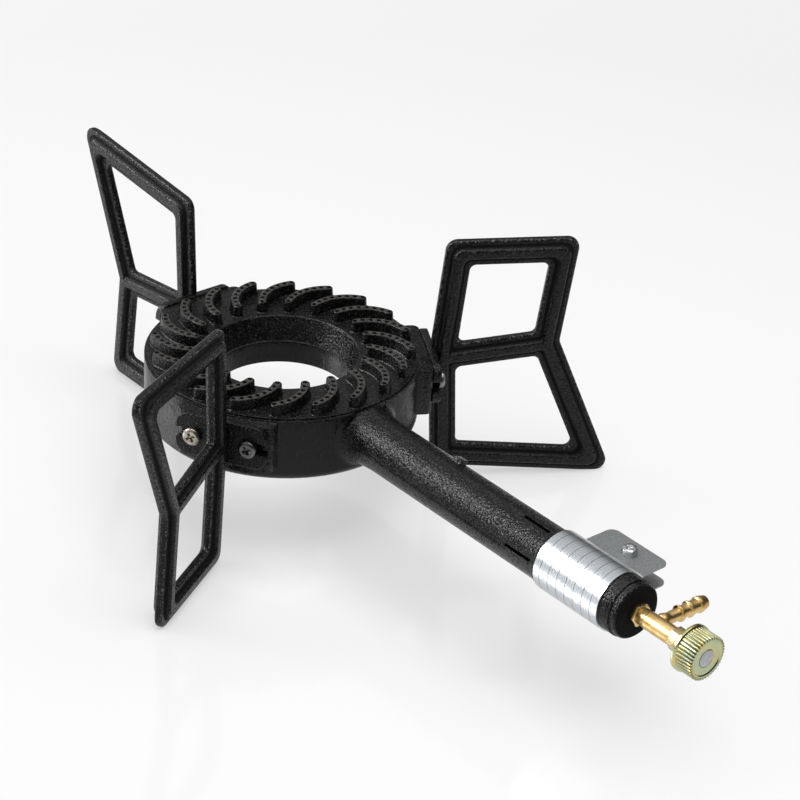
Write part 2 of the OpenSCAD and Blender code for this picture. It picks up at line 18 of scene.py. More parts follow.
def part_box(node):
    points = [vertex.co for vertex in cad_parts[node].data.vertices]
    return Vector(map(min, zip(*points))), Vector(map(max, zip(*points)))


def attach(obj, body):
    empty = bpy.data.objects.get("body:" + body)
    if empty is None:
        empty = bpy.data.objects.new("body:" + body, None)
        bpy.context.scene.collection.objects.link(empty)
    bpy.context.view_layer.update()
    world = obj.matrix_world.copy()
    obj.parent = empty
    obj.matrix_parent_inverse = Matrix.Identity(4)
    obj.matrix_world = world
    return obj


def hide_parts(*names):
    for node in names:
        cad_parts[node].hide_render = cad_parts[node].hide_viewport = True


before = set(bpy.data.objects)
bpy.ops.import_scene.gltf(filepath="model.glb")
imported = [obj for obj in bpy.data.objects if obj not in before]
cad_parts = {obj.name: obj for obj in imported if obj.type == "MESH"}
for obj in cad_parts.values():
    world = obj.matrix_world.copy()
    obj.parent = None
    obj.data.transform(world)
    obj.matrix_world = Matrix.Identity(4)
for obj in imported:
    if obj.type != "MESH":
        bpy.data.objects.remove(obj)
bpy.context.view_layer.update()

log = logging.getLogger("burner")
MM = 0.001
RAISED = "raised"
# mark of painted shade: how dark a point is painted where shade falls in a recess
PAINTED_SHADE = "painted_shade"
RING_R = 81.5
TUBE_Z = 72.3
TUBE_END = 302.0
MERGE_M = 1e-6
SLIVER_M = 1e-7
CAD_MERGE_M = 2e-6
FLAT_DEGREES = 0.6


class Body(Enum):
    """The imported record's bodies that new pieces ride on."""

    BURNER = "burner"
    BAND = "band"
    HANDWHEEL = "handwheel"


def linear(colour: str) -> tuple[float, float, float, float]:
    """Turns an sRGB hex colour into linear values.

    Args:
        colour: six hex digits after a hash sign.

    Returns:
        Red, green, blue and alpha, each from 0 to 1.
    """
    share = np.array([int(colour[k:k + 2], 16) for k in (1, 3, 5)]) / 255.0
    low = share / 12.92
    high = ((share + 0.055) / 1.055) ** 2.4
    red, green, blue = np.where(share <= 0.04045, low, high)
    return float(red), float(green), float(blue), 1.0


def per_mm(size: float) -> float:
    """Texture scale, per metre, of a pattern whose cells are this many millimetres wide."""
    return 1.0 / (size * MM)


def ring_axis() -> float:
    """The frame's Y, in metres, of the ring's axis: the middle of the round cover's box."""
    low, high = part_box("burner_cover")
    return (low.y + high.y) / 2


class Board:
    """The node tree of a material or of the world, and the one way to add a node to it."""

    def __init__(self, owner: bpy.types.Material | bpy.types.World) -> None:
        """Clears the owner's nodes.

        Args:
            owner: the material or the world.
        """
        owner.use_nodes = True
        self.tree = owner.node_tree
        self.tree.nodes.clear()

    def feed(self, socket: bpy.types.NodeSocket, value: object) -> None:
        """Links an input to a socket, or sets it; a hex colour is set in linear values.

        Args:
            socket: the input.
            value: a socket to link from, a hex colour or a plain value.
        """
        if isinstance(value, bpy.types.NodeSocket):
            self.tree.links.new(value, socket)
        else:
            socket.default_value = linear(value) if isinstance(value, str) else value

    def add(
        self, kind: str, inputs: dict | None = None, out: int | str | None = 0, **settings: object
    ) -> bpy.types.NodeSocket | bpy.types.Node:
        """Adds a shader node with its settings and links.

        Args:
            kind: Blender's name of the node, less its first words.
            inputs: value, or socket to link from, of each input by name or number.
            out: name or number of the output that is wanted.
            settings: the node's own properties.

        Returns:
            That output, or the node itself where out is None.
        """
        made = self.tree.nodes.new(f"ShaderNode{kind}")
        for name, value in settings.items():
            setattr(made, name, value)
        for name, value in (inputs or {}).items():
            self.feed(made.inputs[name], value)
        return made if out is None else made.outputs[out]


class ShaderBoard(Board):
    """A material's nodes, from its shader and the object's coordinates on."""

    def __init__(self, material: bpy.types.Material) -> None:
        """Starts from a shader, its output and the object's coordinates.

        Args:
            material: the material.
        """
        super().__init__(material)
        self.shader = self.add("BsdfPrincipled", out=None)
        self.add("OutputMaterial", {"Surface": self.shader.outputs["BSDF"]}, None)
        self.place = self.add("TexCoord", out="Object")

    def set(self, **values: object) -> None:
        """Sets or links the shader's sockets, with underscores for the spaces in their names."""
        for name, value in values.items():
            self.feed(self.shader.inputs[name.replace("_", " ")], value)


@dataclass(frozen=True)
class Finish:
    """A finish by the name of its material; its nodes are made the first time it is used."""

    title: str

    def material(self) -> bpy.types.Material:
        """Makes the finish's material the first time, and finds it again after that.

        Returns:
            The material.
        """
        made = bpy.data.materials.get(self.title)
        if made is None:
            made = bpy.data.materials.new(self.title)
            self.draw(ShaderBoard(made))
        return made

    def draw(self, board: ShaderBoard) -> None:
        """Draws the finish's nodes on a board."""
        raise NotImplementedError


@dataclass(frozen=True)
class PaintedIron(Finish):
    """Grey iron cast in sand and dipped in black paint.

    The paint follows the sand's grain, so the gloss breaks up into specks. It is thin on raised edges,
    which show a dull grey. The grain is drawn a little coarser than sand, so that it shows in the render.
    """

    dark: str = "#030303"
    soot: str = "#0b0b0a"
    # dust on the grain's crests, partly a painted highlight that lightens them
    dust_and_highlight: str = "#393735"
    worn: str = "#8a8784"
    # black of the painted shade in marked recesses and in the grain's pits
    shade_black: str = "#010101"
    grain_mm: float = 1.3
    grain_depth_mm: float = 0.7
    lump_mm: float = 7.0
    lump_depth_mm: float = 0.5
    rough_low: float = 0.14
    rough_high: float = 0.3
    rough_in_shade: float = 0.95
    gloss: float = 0.24
    pit_shade: float = 0.8
    wear: float = 0.5
    rub_from: float = 0.5
    rub_to: float = 0.68

    def skin(self, board: ShaderBoard) -> tuple[bpy.types.NodeSocket, float | bpy.types.NodeSocket]:
        """The sand's grain from 0 to 1, and its depth in metres, here the same all over."""
        sand = {"Vector": board.place, "Scale": per_mm(self.grain_mm), "Detail": 2.0, "Roughness": 0.55}
        return board.add("TexNoise", sand), self.grain_depth_mm * MM

    def shade(self, board: ShaderBoard) -> bpy.types.NodeSocket:
        """How much painted shade a place gets, from 0 to 1: the mark on the mesh."""
        return board.add("Attribute", out="Fac", attribute_name=PAINTED_SHADE)

    def draw(self, board: ShaderBoard) -> None:
        """Sand grain and lumps as bump and tone, with wear where the surface is raised.

        Soot in patches, dust with a painted highlight on the grain's crests, bare metal on rubbed edges, and
        black painted shade where the mesh is marked and in the grain's pits lie over the paint in that order.

        Args:
            board: the material's board.
        """
        grain, depth = self.skin(board)
        waves = {"Vector": board.place, "Scale": per_mm(self.lump_mm), "Detail": 4.0, "Roughness": 0.55}
        lumps = board.add("TexNoise", waves)
        patch = board.add("MapRange", {"Value": lumps, "From Min": 0.35, "From Max": 0.68})
        # lighter crests of the grain: dust, and partly a painted highlight
        crest_dust_and_highlight = board.add("MapRange", {"Value": grain, "From Min": 0.54, "From Max": 0.74})
        # painted shade in the grain's pits
        pits = board.add(
            "MapRange", {"Value": grain, "From Min": 0.42, "From Max": 0.3, "To Max": self.pit_shade}
        )
        # painted shade: the mesh's mark and the grain's pits together
        painted_shade = board.add("Math", {0: self.shade(board), 1: pits}, operation="MAXIMUM")
        rubbed = board.add(
            "MapRange",
            {"Value": grain, "From Min": self.rub_from, "From Max": self.rub_to, "To Max": self.wear},
        )
        raised = board.add("Attribute", out="Fac", attribute_name=RAISED)
        worn = board.add("Math", {0: raised, 1: rubbed}, operation="MULTIPLY")
        colour = self.dark
        for share, over in ((patch, self.soot), (crest_dust_and_highlight, self.dust_and_highlight), (worn, self.worn), (painted_shade, self.shade_black)):
            colour = board.add("Mix", {0: share, 6: colour, 7: over}, 2, data_type="RGBA")
        rough = board.add(
            "MapRange",
            {
                "Value": lumps, "From Min": 0.3, "From Max": 0.7,
                "To Min": self.rough_low, "To Max": self.rough_high,
            },
        )
        matt = board.add("Mix", {0: painted_shade, 2: rough, 3: self.rough_in_shade})
        cast = board.add("Bump", {"Height": lumps, "Strength": 1.0, "Distance": self.lump_depth_mm * MM})
        sand = board.add("Bump", {"Height": grain, "Strength": 1.0, "Distance": depth, "Normal": cast})
        board.set(Base_Color=colour, Roughness=matt, Normal=sand, IOR=1.5, Specular_IOR_Level=self.gloss)


@dataclass(frozen=True)
class WallGroundIron(PaintedIron):
    """Iron that is partly as cast, and partly ground with upright strokes on a round wall and a bore.

    On the head the tube's whole end face gets painted shade, a dead black.
    """

    smooth_depth_mm: float = 0.35
    stroke_mm: float = 0.9
    stroke_stretch: tuple[float, float, float] = (1.0, 1.0, 0.2)
    bore_r: float = 40.5
    wall_top: float = 88.0
    ground_mm: float = 0.8
    fade_mm: float = 1.0
    # how far back from the tube's end the end face's painted shade begins
    end_shade_mm: float = 0.6

    def skin(self, board: ShaderBoard) -> tuple[bpy.types.NodeSocket, bpy.types.NodeSocket]:
        """Sand's grain, and shallow strokes close to the wall and to the bore.

        Args:
            board: the material's board.

        Returns:
            The grain from 0 to 1, and its depth in metres.
        """
        grain, depth = super().skin(board)
        drawn_out = board.add("VectorMath", {0: board.place, 1: self.stroke_stretch}, operation="MULTIPLY")
        lines = board.add("TexNoise", {"Vector": drawn_out, "Scale": per_mm(self.stroke_mm), "Detail": 2.0})
        strokes = board.add("MapRange", {"Value": lines, "To Min": 0.25, "To Max": 0.75})
        axis = (0.0, ring_axis(), 0.0)
        from_axis = board.add("VectorMath", {0: board.place, 1: axis}, operation="SUBTRACT")
        level = board.add("VectorMath", {0: from_axis, 1: (1.0, 1.0, 0.0)}, operation="MULTIPLY")
        radius = board.add("VectorMath", {0: level}, "Value", operation="LENGTH")
        height = board.add("SeparateXYZ", {"Vector": board.place}, "Z")
        rim = board.add("Math", {0: height, 1: self.wall_top * MM}, operation="GREATER_THAN")
        near, far = self.ground_mm * MM, (self.ground_mm + self.fade_mm) * MM
        for wall in (RING_R, self.bore_r):
            off = board.add("Math", {0: radius, 1: wall * MM}, operation="SUBTRACT")
            away = board.add("Math", {0: off}, operation="ABSOLUTE")
            beside = board.add("MapRange", {"Value": away, "From Min": near, "From Max": far})
            cast = board.add("Math", {0: beside, 1: rim}, operation="MAXIMUM")
            grain = board.add("Mix", {0: cast, 2: strokes, 3: grain})
            depth = board.add("Mix", {0: cast, 2: self.smooth_depth_mm * MM, 3: depth})
        return grain, depth

    def shade(self, board: ShaderBoard) -> bpy.types.NodeSocket:
        """The mesh's mark, and painted shade over the whole end face.

        Args:
            board: the material's board.

        Returns:
            How much painted shade a place gets, from 0 to 1.
        """
        # painted shade over the whole end face of the tube
        along = board.add("SeparateXYZ", {"Vector": board.place}, "Y")
        end = ring_axis() - (TUBE_END - self.end_shade_mm) * MM
        past = board.add("Math", {0: along, 1: end}, operation="LESS_THAN")
        return board.add("Math", {0: super().shade(board), 1: past}, operation="MAXIMUM")


@dataclass(frozen=True)
class TurnedBrass(Finish):
    """Free-cutting brass turned on a lathe: a clear golden metal with fine rings round its axis."""

    light: str = "#dcbf86"
    deep: str = "#c39c5e"
    axis: str = "Y"
    ring_mm: float = 0.35
    ring_depth_mm: float = 0.02
    tarnish_mm: float = 6.0
    rough: float = 0.3

    def draw(self, board: ShaderBoard) -> None:
        """Rings from noise along the turning axis, and a slow change of tone.

        Args:
            board: the material's board.
        """
        along = board.add("SeparateXYZ", {"Vector": board.place}, self.axis)
        size = per_mm(self.ring_mm)
        rings = board.add("TexNoise", {"W": along, "Scale": size, "Detail": 2.0}, noise_dimensions="1D")
        size = per_mm(self.tarnish_mm)
        tarnish = board.add("TexNoise", {"Vector": board.place, "Scale": size, "Detail": 3.0})
        tone = board.add("MapRange", {"Value": tarnish, "From Min": 0.35, "From Max": 0.7})
        colour = board.add("Mix", {0: tone, 6: self.light, 7: self.deep}, 2, data_type="RGBA")
        low, high = self.rough * 0.7, self.rough * 1.4
        rough = board.add("MapRange", {"Value": rings, "To Min": low, "To Max": high})
        cut = board.add("Bump", {"Height": rings, "Strength": 0.5, "Distance": self.ring_depth_mm * MM})
        board.set(Base_Color=colour, Metallic=1.0, Roughness=rough, Normal=cut)


@dataclass(frozen=True)
class ZincSheet(Finish):
    """Rolled sheet with a bright zinc coat: pale, with fine rolling lines and thin dark rules round it.

    The ears are drawn a duller grey than the polished band.
    """

    bright: str = "#cbcfd3"
    dull: str = "#a0a2a2"
    crystal: str = "#858889"
    crystal_mm: float = 1.2
    line_mm: float = 0.5
    line_depth_mm: float = 0.02
    rule: str = "#4c5258"
    rule_mm: float = 0.3
    first_rule_mm: float = 4.5
    half_pitch_mm: float = 3.2
    band_back_m: float = -0.1665
    ear_from_m: float = 0.0185
    ear_fade_m: float = 0.0015
    ear_rough: float = 0.5

    def draw(self, board: ShaderBoard) -> None:
        """Rolling lines along the tube, rules at a steady pitch and a dull tone on the ears.

        Args:
            board: the material's board.
        """
        across = board.add("SeparateXYZ", {"Vector": board.place}, "X")
        along = board.add("SeparateXYZ", {"Vector": board.place}, "Y")
        size = per_mm(self.line_mm)
        lines = board.add("TexNoise", {"W": along, "Scale": size, "Detail": 2.0}, noise_dimensions="1D")
        spangle = board.add("TexVoronoi", {"Vector": board.place, "Scale": per_mm(self.crystal_mm)})
        ear_to = self.ear_from_m + self.ear_fade_m
        ear = board.add("MapRange", {"Value": across, "From Min": self.ear_from_m, "From Max": ear_to})
        crystal = board.add("Mix", {0: spangle, 6: self.dull, 7: self.crystal}, 2, data_type="RGBA")
        start = self.band_back_m - self.first_rule_mm * MM
        station = board.add("Math", {0: along, 1: start}, operation="SUBTRACT")
        phase = board.add("Math", {0: station, 1: self.half_pitch_mm * MM}, operation="PINGPONG")
        rule = board.add("Math", {0: phase, 1: self.rule_mm * MM / 2}, operation="LESS_THAN")
        on_band = board.add("Math", {0: 1.0, 1: ear}, operation="SUBTRACT")
        ruled = board.add("Math", {0: rule, 1: on_band}, operation="MULTIPLY")
        colour = self.bright
        for share, over in ((ear, crystal), (ruled, self.rule)):
            colour = board.add("Mix", {0: share, 6: colour, 7: over}, 2, data_type="RGBA")
        sheen = board.add("MapRange", {"Value": lines, "To Min": 0.24, "To Max": 0.32})
        rough = board.add("MapRange", {"Value": ear, "To Min": sheen, "To Max": self.ear_rough})
        rolled = board.add("Bump", {"Height": lines, "Strength": 0.15, "Distance": self.line_depth_mm * MM})
        board.set(Base_Color=colour, Metallic=1.0, Roughness=rough, Normal=rolled)


@dataclass(frozen=True)
class PlatedSteel(Finish):
    """Cold-headed steel with a thin zinc coat: grey-white, a little cloudy and soft in its gloss.

    Where another tone is given, the screws on one side of the ring's axis take it.
    """

    light: str = "#c9cacb"
    dark: str = "#8f9193"
    rough: float = 0.3
    cloud_mm: float = 2.5
    mark_mm: float = 0.3
    mark_depth_mm: float = 0.03
    other: str = ""
    other_side: tuple[float, float, float] = (0.0, 0.0, 0.0)

    def draw(self, board: ShaderBoard) -> None:
        """Clouds of tone and gloss over fine barrel-tumbling marks.

        Args:
            board: the material's board.
        """
        cloud = board.add("TexNoise", {"Vector": board.place, "Scale": per_mm(self.cloud_mm), "Detail": 4.0})
        marks = board.add("TexNoise", {"Vector": board.place, "Scale": per_mm(self.mark_mm), "Detail": 2.0})
        tone = board.add("MapRange", {"Value": cloud, "From Min": 0.35, "From Max": 0.7})
        colour = board.add("Mix", {0: tone, 6: self.light, 7: self.dark}, 2, data_type="RGBA")
        if self.other:
            axis = (0.0, ring_axis(), 0.0)
            from_axis = board.add("VectorMath", {0: board.place, 1: axis}, operation="SUBTRACT")
            pair = {0: from_axis, 1: self.other_side}
            side = board.add("VectorMath", pair, "Value", operation="DOT_PRODUCT")
            beyond = board.add("Math", {0: side, 1: 0.0}, operation="GREATER_THAN")
            colour = board.add("Mix", {0: beyond, 6: colour, 7: self.other}, 2, data_type="RGBA")
        low, high = self.rough * 0.75, self.rough * 1.35
        rough = board.add("MapRange", {"Value": marks, "To Min": low, "To Max": high})
        dents = board.add("Bump", {"Height": marks, "Strength": 0.4, "Distance": self.mark_depth_mm * MM})
        board.set(Base_Color=colour, Metallic=1.0, Roughness=rough, Normal=dents)


@dataclass(frozen=True)
class YellowPassivated(Finish):
    """Zinc die casting in yellow chromate: a thin film that drifts from straw to green and rose."""

    straw: str = "#c9bd82"
    green: str = "#b1bb9a"
    rose: str = "#bfa084"
    # colour of the painted shade in the knob's flutes
    flute: str = "#3a3216"
    green_mm: float = 9.0
    rose_mm: float = 5.0
    stipple_mm: float = 0.7
    stipple_depth_mm: float = 0.08

    def draw(self, board: ShaderBoard) -> None:
        """Colours of the film from two slow noises, painted shade in the flutes, and a cast stipple as bump.

        Args:
            board: the material's board.
        """
        slow = board.add("TexNoise", {"Vector": board.place, "Scale": per_mm(self.green_mm), "Detail": 2.0})
        drift = {"Vector": board.place, "Scale": per_mm(self.rose_mm), "Detail": 3.0, "Distortion": 0.6}
        swirl = board.add("TexNoise", drift)
        to_green = board.add("MapRange", {"Value": slow, "From Min": 0.36, "From Max": 0.56})
        to_rose = board.add("MapRange", {"Value": swirl, "From Min": 0.58, "From Max": 0.75})
        painted_shade = board.add("Attribute", out="Fac", attribute_name=PAINTED_SHADE)
        colour = self.straw
        for share, over in ((to_green, self.green), (to_rose, self.rose), (painted_shade, self.flute)):
            colour = board.add("Mix", {0: share, 6: colour, 7: over}, 2, data_type="RGBA")
        size = per_mm(self.stipple_mm)
        stipple = board.add("TexNoise", {"Vector": board.place, "Scale": size, "Detail": 2.0})
        rough = board.add("MapRange", {"Value": stipple, "To Min": 0.12, "To Max": 0.3})
        cast = board.add("Bump", {"Height": stipple, "Strength": 0.6, "Distance": self.stipple_depth_mm * MM})
        board.set(Base_Color=colour, Metallic=1.0, Roughness=rough, Normal=cast)


LEG_IRON = PaintedIron("black painted sand-cast iron, legs")
HEAD_IRON = WallGroundIron("black painted sand-cast iron, head", grain_mm=1.5)
COVER_IRON = PaintedIron(
    "black painted sand-cast iron, cover", worn="#575450", wear=0.9, rub_from=0.3, rub_to=0.6
)
BODY_BRASS = TurnedBrass("turned brass, valve")
TAIL_BRASS = TurnedBrass("turned brass, hose tail", axis="X")
NUT_BRASS = TurnedBrass("pale hexagon brass", light="#e6d0a2", deep="#d2b37c", rough=0.24)
BAND_ZINC = ZincSheet("bright zinc sheet")
BRIGHT_BOLT = PlatedSteel("bright zinc plated steel", light="#dcdedf", dark="#aeb1b3", rough=0.22)
PALE_SCREW = PlatedSteel("pale zinc plated steel", light="#cfc8bb", dark="#a39a8c")
MIXED_SCREW = PlatedSteel(
    "pale and grey zinc plated steel",
    light="#bcb4a7", dark="#847d73", other="#68686a", other_side=(0.5, -0.866, 0.0),
)
GREY_SCREW = PlatedSteel("grey zinc plated steel", light="#8d8f92", dark="#626467")
SPINDLE_STEEL = PlatedSteel("ground spindle steel", light="#b8bbbe", dark="#94979a", rough=0.24)
DISC_STEEL = PlatedSteel("grey passivated disc", light="#b3b9b4", dark="#a096a6")
GRAPHITE = PaintedIron("graphite packing", dark="#1a1a1b", soot="#29292b", grain_mm=0.4, wear=0.0)
KNOB_FILM = YellowPassivated("yellow passivated zinc")


@dataclass
class Surface:
    """Points in millimetres about the ring's axis, and the quads between them.

    A point may say how far it stands on a rubbed edge, and how much painted shade it gets, from 0 to 1.
    """

    points: np.ndarray
    faces: np.ndarray
    raised: np.ndarray | None = None
    painted_shade: np.ndarray | None = None

    def moved(self, points: np.ndarray) -> "Surface":
        """The same faces and marks with the points elsewhere."""
        return replace(self, points=points)


def grid_faces(rows: int, columns: int, wrap_rows: bool = False, wrap_columns: bool = False) -> np.ndarray:
    """Quads of a grid whose points are stored row after row.

    Args:
        rows: number of rows of points.
        columns: points in a row.
        wrap_rows: whether the last row joins the first.
        wrap_columns: whether the last column joins the first.

    Returns:
        Four point numbers a quad.
    """
    row, column = np.meshgrid(
        np.arange(rows if wrap_rows else rows - 1),
        np.arange(columns if wrap_columns else columns - 1),
        indexing="ij",
    )
    below = (row + 1) % rows
    beside = (column + 1) % columns
    quads = np.stack(
        [row * columns + column, below * columns + column, below * columns + beside, row * columns + beside],
        axis=-1,
    )
    return quads.reshape(-1, 4)


def joined(parts: list[Surface]) -> Surface:
    """Puts several surfaces into one.

    Args:
        parts: the surfaces.

    Returns:
        One surface with all their points, faces and marks.
    """
    starts = np.cumsum([0] + [len(part.points) for part in parts[:-1]])

    def marks(name: str) -> np.ndarray:
        """One mark of all the parts' points, zero where a part has none.

        Args:
            name: the mark's name.

        Returns:
            One value a point.
        """
        rows = [getattr(part, name) for part in parts]
        return np.concatenate([
            np.zeros(len(part.points)) if row is None else row for part, row in zip(parts, rows)
        ])

    return Surface(
        np.concatenate([part.points for part in parts]),
        np.concatenate([part.faces + start for part, start in zip(parts, starts)]),
        marks(RAISED),
        marks(PAINTED_SHADE),
    )


def unit(vectors: np.ndarray) -> np.ndarray:
    """Vectors scaled to length one, along the last axis."""
    return vectors / np.linalg.norm(vectors, axis=-1, keepdims=True)


def on_circle(angle: np.ndarray | float) -> np.ndarray:
    """Vectors of length one at the given angles: cosine and sine along the last axis."""
    return np.stack([np.cos(angle), np.sin(angle)], axis=-1)


def turned(points: np.ndarray, degrees: float) -> np.ndarray:
    """Points turned about the ring's axis by an angle, anticlockwise from above.

    Args:
        points: the points.
        degrees: the angle.

    Returns:
        The turned points.
    """
    angle = math.radians(degrees)
    out = points.copy()
    out[..., 0] = points[..., 0] * math.cos(angle) - points[..., 1] * math.sin(angle)
    out[..., 1] = points[..., 0] * math.sin(angle) + points[..., 1] * math.cos(angle)
    return out


def shifted(corners: np.ndarray, distance: float) -> np.ndarray:
    """Corners of an anticlockwise outline after every side has moved outwards.

    Each new corner is where the two moved sides meet: the corner plus the two sides' normals, added and
    stretched so that it lies at the distance from both.

    Args:
        corners: the outline's corners, in order.
        distance: how far each side moves; a negative distance is inwards.

    Returns:
        The new corners.
    """
    before = unit(corners - np.roll(corners, 1, axis=0))
    after = unit(np.roll(corners, -1, axis=0) - corners)
    normal_in = np.stack([before[:, 1], -before[:, 0]], axis=1)
    normal_out = np.stack([after[:, 1], -after[:, 0]], axis=1)
    middle = normal_in + normal_out
    stretch = 1.0 + np.sum(normal_in * normal_out, axis=1, keepdims=True)
    return corners + distance * middle / stretch


def corner_arcs(
    before: np.ndarray, corner: np.ndarray, after: np.ndarray, radius: np.ndarray, steps: int
) -> np.ndarray:
    """Points of the arcs that round off corners.

    The arc's centre lies on the corner's bisector, radius over the sine of half the angle away, and the arc
    runs from the foot of one side to the foot of the other.

    Args:
        before: the point before each corner.
        corner: the corners.
        after: the point after each corner.
        radius: each arc's radius; zero keeps the corner and repeats it.
        steps: steps along each arc.

    Returns:
        One row of points a corner.
    """
    u = unit(before - corner)
    v = unit(after - corner)
    half = np.arccos(np.clip(np.sum(u * v, axis=1), -1.0, 1.0)) / 2
    centre = corner + unit(u + v) * (radius / np.sin(half))[:, None]
    start_foot = corner + u * (radius / np.tan(half))[:, None] - centre
    end_foot = corner + v * (radius / np.tan(half))[:, None] - centre
    start = np.arctan2(start_foot[:, 1], start_foot[:, 0])
    sweep = np.arctan2(end_foot[:, 1], end_foot[:, 0]) - start
    sweep = (sweep + np.pi) % (2 * np.pi) - np.pi
    angle = start[:, None] + sweep[:, None] * np.linspace(0.0, 1.0, steps + 1)
    return centre[:, None] + radius[:, None, None] * on_circle(angle)


def rounded_loop(corners: np.ndarray, radius: np.ndarray, steps: int, run: int) -> np.ndarray:
    """A closed outline with every corner turned into an arc and every side cut into equal runs.

    Args:
        corners: the outline's corners, in order.
        radius: radius of each corner's arc.
        steps: steps along each arc.
        run: pieces of each straight side.

    Returns:
        The outline's points, from the first corner's arc on.
    """
    arcs = corner_arcs(np.roll(corners, 1, axis=0), corners, np.roll(corners, -1, axis=0), radius, steps)
    share = np.arange(1, run) / run
    first = arcs[:, -1]
    last = np.roll(arcs[:, 0], -1, axis=0)
    sides = first[:, None] + (last - first)[:, None] * share[:, None]
    return np.concatenate([arcs, sides], axis=1).reshape(-1, 2)


def soft_path(points: list[tuple[float, float]], radius: float, steps: int = 4) -> np.ndarray:
    """An open path with its inner corners rounded by one radius.

    Args:
        points: the path's ends and the corners between them.
        radius: radius of every arc.
        steps: steps along each arc.

    Returns:
        The path's points.
    """
    path = np.array(points)
    arcs = corner_arcs(path[:-2], path[1:-1], path[2:], np.full(len(path) - 2, radius), steps)
    return np.concatenate([path[:1], arcs.reshape(-1, 2), path[-1:]])


def resampled(path: np.ndarray, count: int) -> np.ndarray:
    """Points at equal steps along a path.

    Args:
        path: the path's points.
        count: how many points to give.

    Returns:
        The new points, both ends included.
    """
    step = np.linalg.norm(np.diff(path, axis=0), axis=1)
    length = np.concatenate([[0.0], np.cumsum(step)])
    at = np.linspace(0.0, length[-1], count)
    return np.stack([np.interp(at, length, path[:, k]) for k in range(2)], axis=1)


def smooth_step(low: float, high: float, value: np.ndarray) -> np.ndarray:
    """Rises from 0 at low to 1 at high, level at both ends."""
    share = np.clip((value - low) / (high - low), 0.0, 1.0)
    return share * share * (3.0 - 2.0 * share)


def lathed(path: np.ndarray, count: int, cut: np.ndarray | float = 0.0, closed: bool = False) -> Surface:
    """A profile turned round Z: its radius times the cosine and the sine of an angle, and its station.

    Args:
        path: radius and station of the profile's points.
        count: points round the axis.
        cut: what is taken off the radius, by profile point and angle.
        closed: whether the profile's last point joins its first.

    Returns:
        The turned surface.
    """
    angle = np.linspace(0.0, 2 * np.pi, count, endpoint=False)
    radius = path[:, :1] - cut
    station = np.broadcast_to(path[:, 1:], (len(path), count))
    points = np.stack([radius * np.cos(angle), radius * np.sin(angle), station], axis=-1)
    return Surface(points.reshape(-1, 3), grid_faces(len(path), count, closed, wrap_columns=True))


def along_tube(part: Surface) -> Surface:
    """A part turned round Z, laid along the tube with its stations outwards from the tube's end face."""
    return part.moved(part.points[:, [0, 2, 1]] * [1.0, -1.0, 1.0] + [0.0, -TUBE_END, TUBE_Z])


def mesh_of(name: str, surface: Surface) -> bpy.types.Mesh:
    """Makes a mesh in the frame's metres, with doubled points merged and faces turned outwards.

    Args:
        name: the mesh's name.
        surface: what it is made from.

    Returns:
        The mesh.
    """
    points = surface.points * MM
    points[:, 1] += ring_axis()
    mesh = bpy.data.meshes.new(name)
    mesh.from_pydata(points.tolist(), [], surface.faces.tolist())
    for mark in (RAISED, PAINTED_SHADE):
        values = getattr(surface, mark)
        if values is not None:
            mesh.attributes.new(mark, "FLOAT", "POINT").data.foreach_set("value", values)
    work = bmesh.new()
    work.from_mesh(mesh)
    bmesh.ops.remove_doubles(work, verts=work.verts, dist=MERGE_M)
    bmesh.ops.dissolve_degenerate(work, dist=SLIVER_M, edges=work.edges)
    bmesh.ops.recalc_face_normals(work, faces=work.faces)
    work.to_mesh(mesh)
    work.free()
    return mesh


def show(mesh: bpy.types.Mesh, finish: Finish, body: Body, *stands_for: str) -> None:
    """Puts a mesh into the scene as a piece of the burner.

    Args:
        mesh: the piece's mesh, whose name it takes.
        finish: its finish.
        body: the body it moves with.
        stands_for: the CAD nodes it is shown in place of.
    """
    piece = bpy.data.objects.new(mesh.name, mesh)
    bpy.context.scene.collection.objects.link(piece)
    mesh.materials.append(finish.material())
    mesh.polygons.foreach_set("use_smooth", np.ones(len(mesh.polygons), dtype=bool))
    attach(piece, body.value)
    if stands_for:
        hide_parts(*stands_for)
    log.info("%s: %d faces on %s", piece.name, len(mesh.polygons), body.value)


def dress(node: str, finish: Finish) -> None:
    """Gives a CAD node a finish and keeps its shape.

    Args:
        node: the CAD node.
        finish: its finish.
    """
    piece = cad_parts[node]
    piece.data.materials.clear()
    piece.data.materials.append(finish.material())
    log.info("%s: kept", node)


def eased_copy(node: str, title: str, edge_mm: float, angle: float = 32.0) -> bpy.types.Mesh:
    """A copy of a CAD node's mesh with its sharp edges rounded off.

    The copy's loose triangles are merged and flat ones joined first, so that the rounding follows real edges.

    Args:
        node: the CAD node.
        title: name of the new mesh.
        edge_mm: width of the rounding.
        angle: edges that turn by more than this many degrees are rounded.

    Returns:
        The new mesh.
    """
    work = bmesh.new()
    work.from_mesh(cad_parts[node].data)
    bmesh.ops.remove_doubles(work, verts=work.verts, dist=CAD_MERGE_M)
    bmesh.ops.dissolve_limit(
        work, angle_limit=math.radians(FLAT_DEGREES), verts=work.verts, edges=work.edges, delimit=set()
    )
    sharp = [
        edge for edge in work.edges
        if edge.is_manifold and abs(edge.calc_face_angle(0.0)) > math.radians(angle)
    ]
    mark = work.faces.layers.float.new(RAISED)
    eased = bmesh.ops.bevel(
        work, geom=sharp, offset=edge_mm * MM, offset_type="OFFSET", segments=2, profile=0.5,
        affect="EDGES", clamp_overlap=True,
    )
    for face in eased["faces"]:
        face[mark] = 1.0
    mesh = bpy.data.meshes.new(title)
    work.to_mesh(mesh)
    work.free()
    return mesh


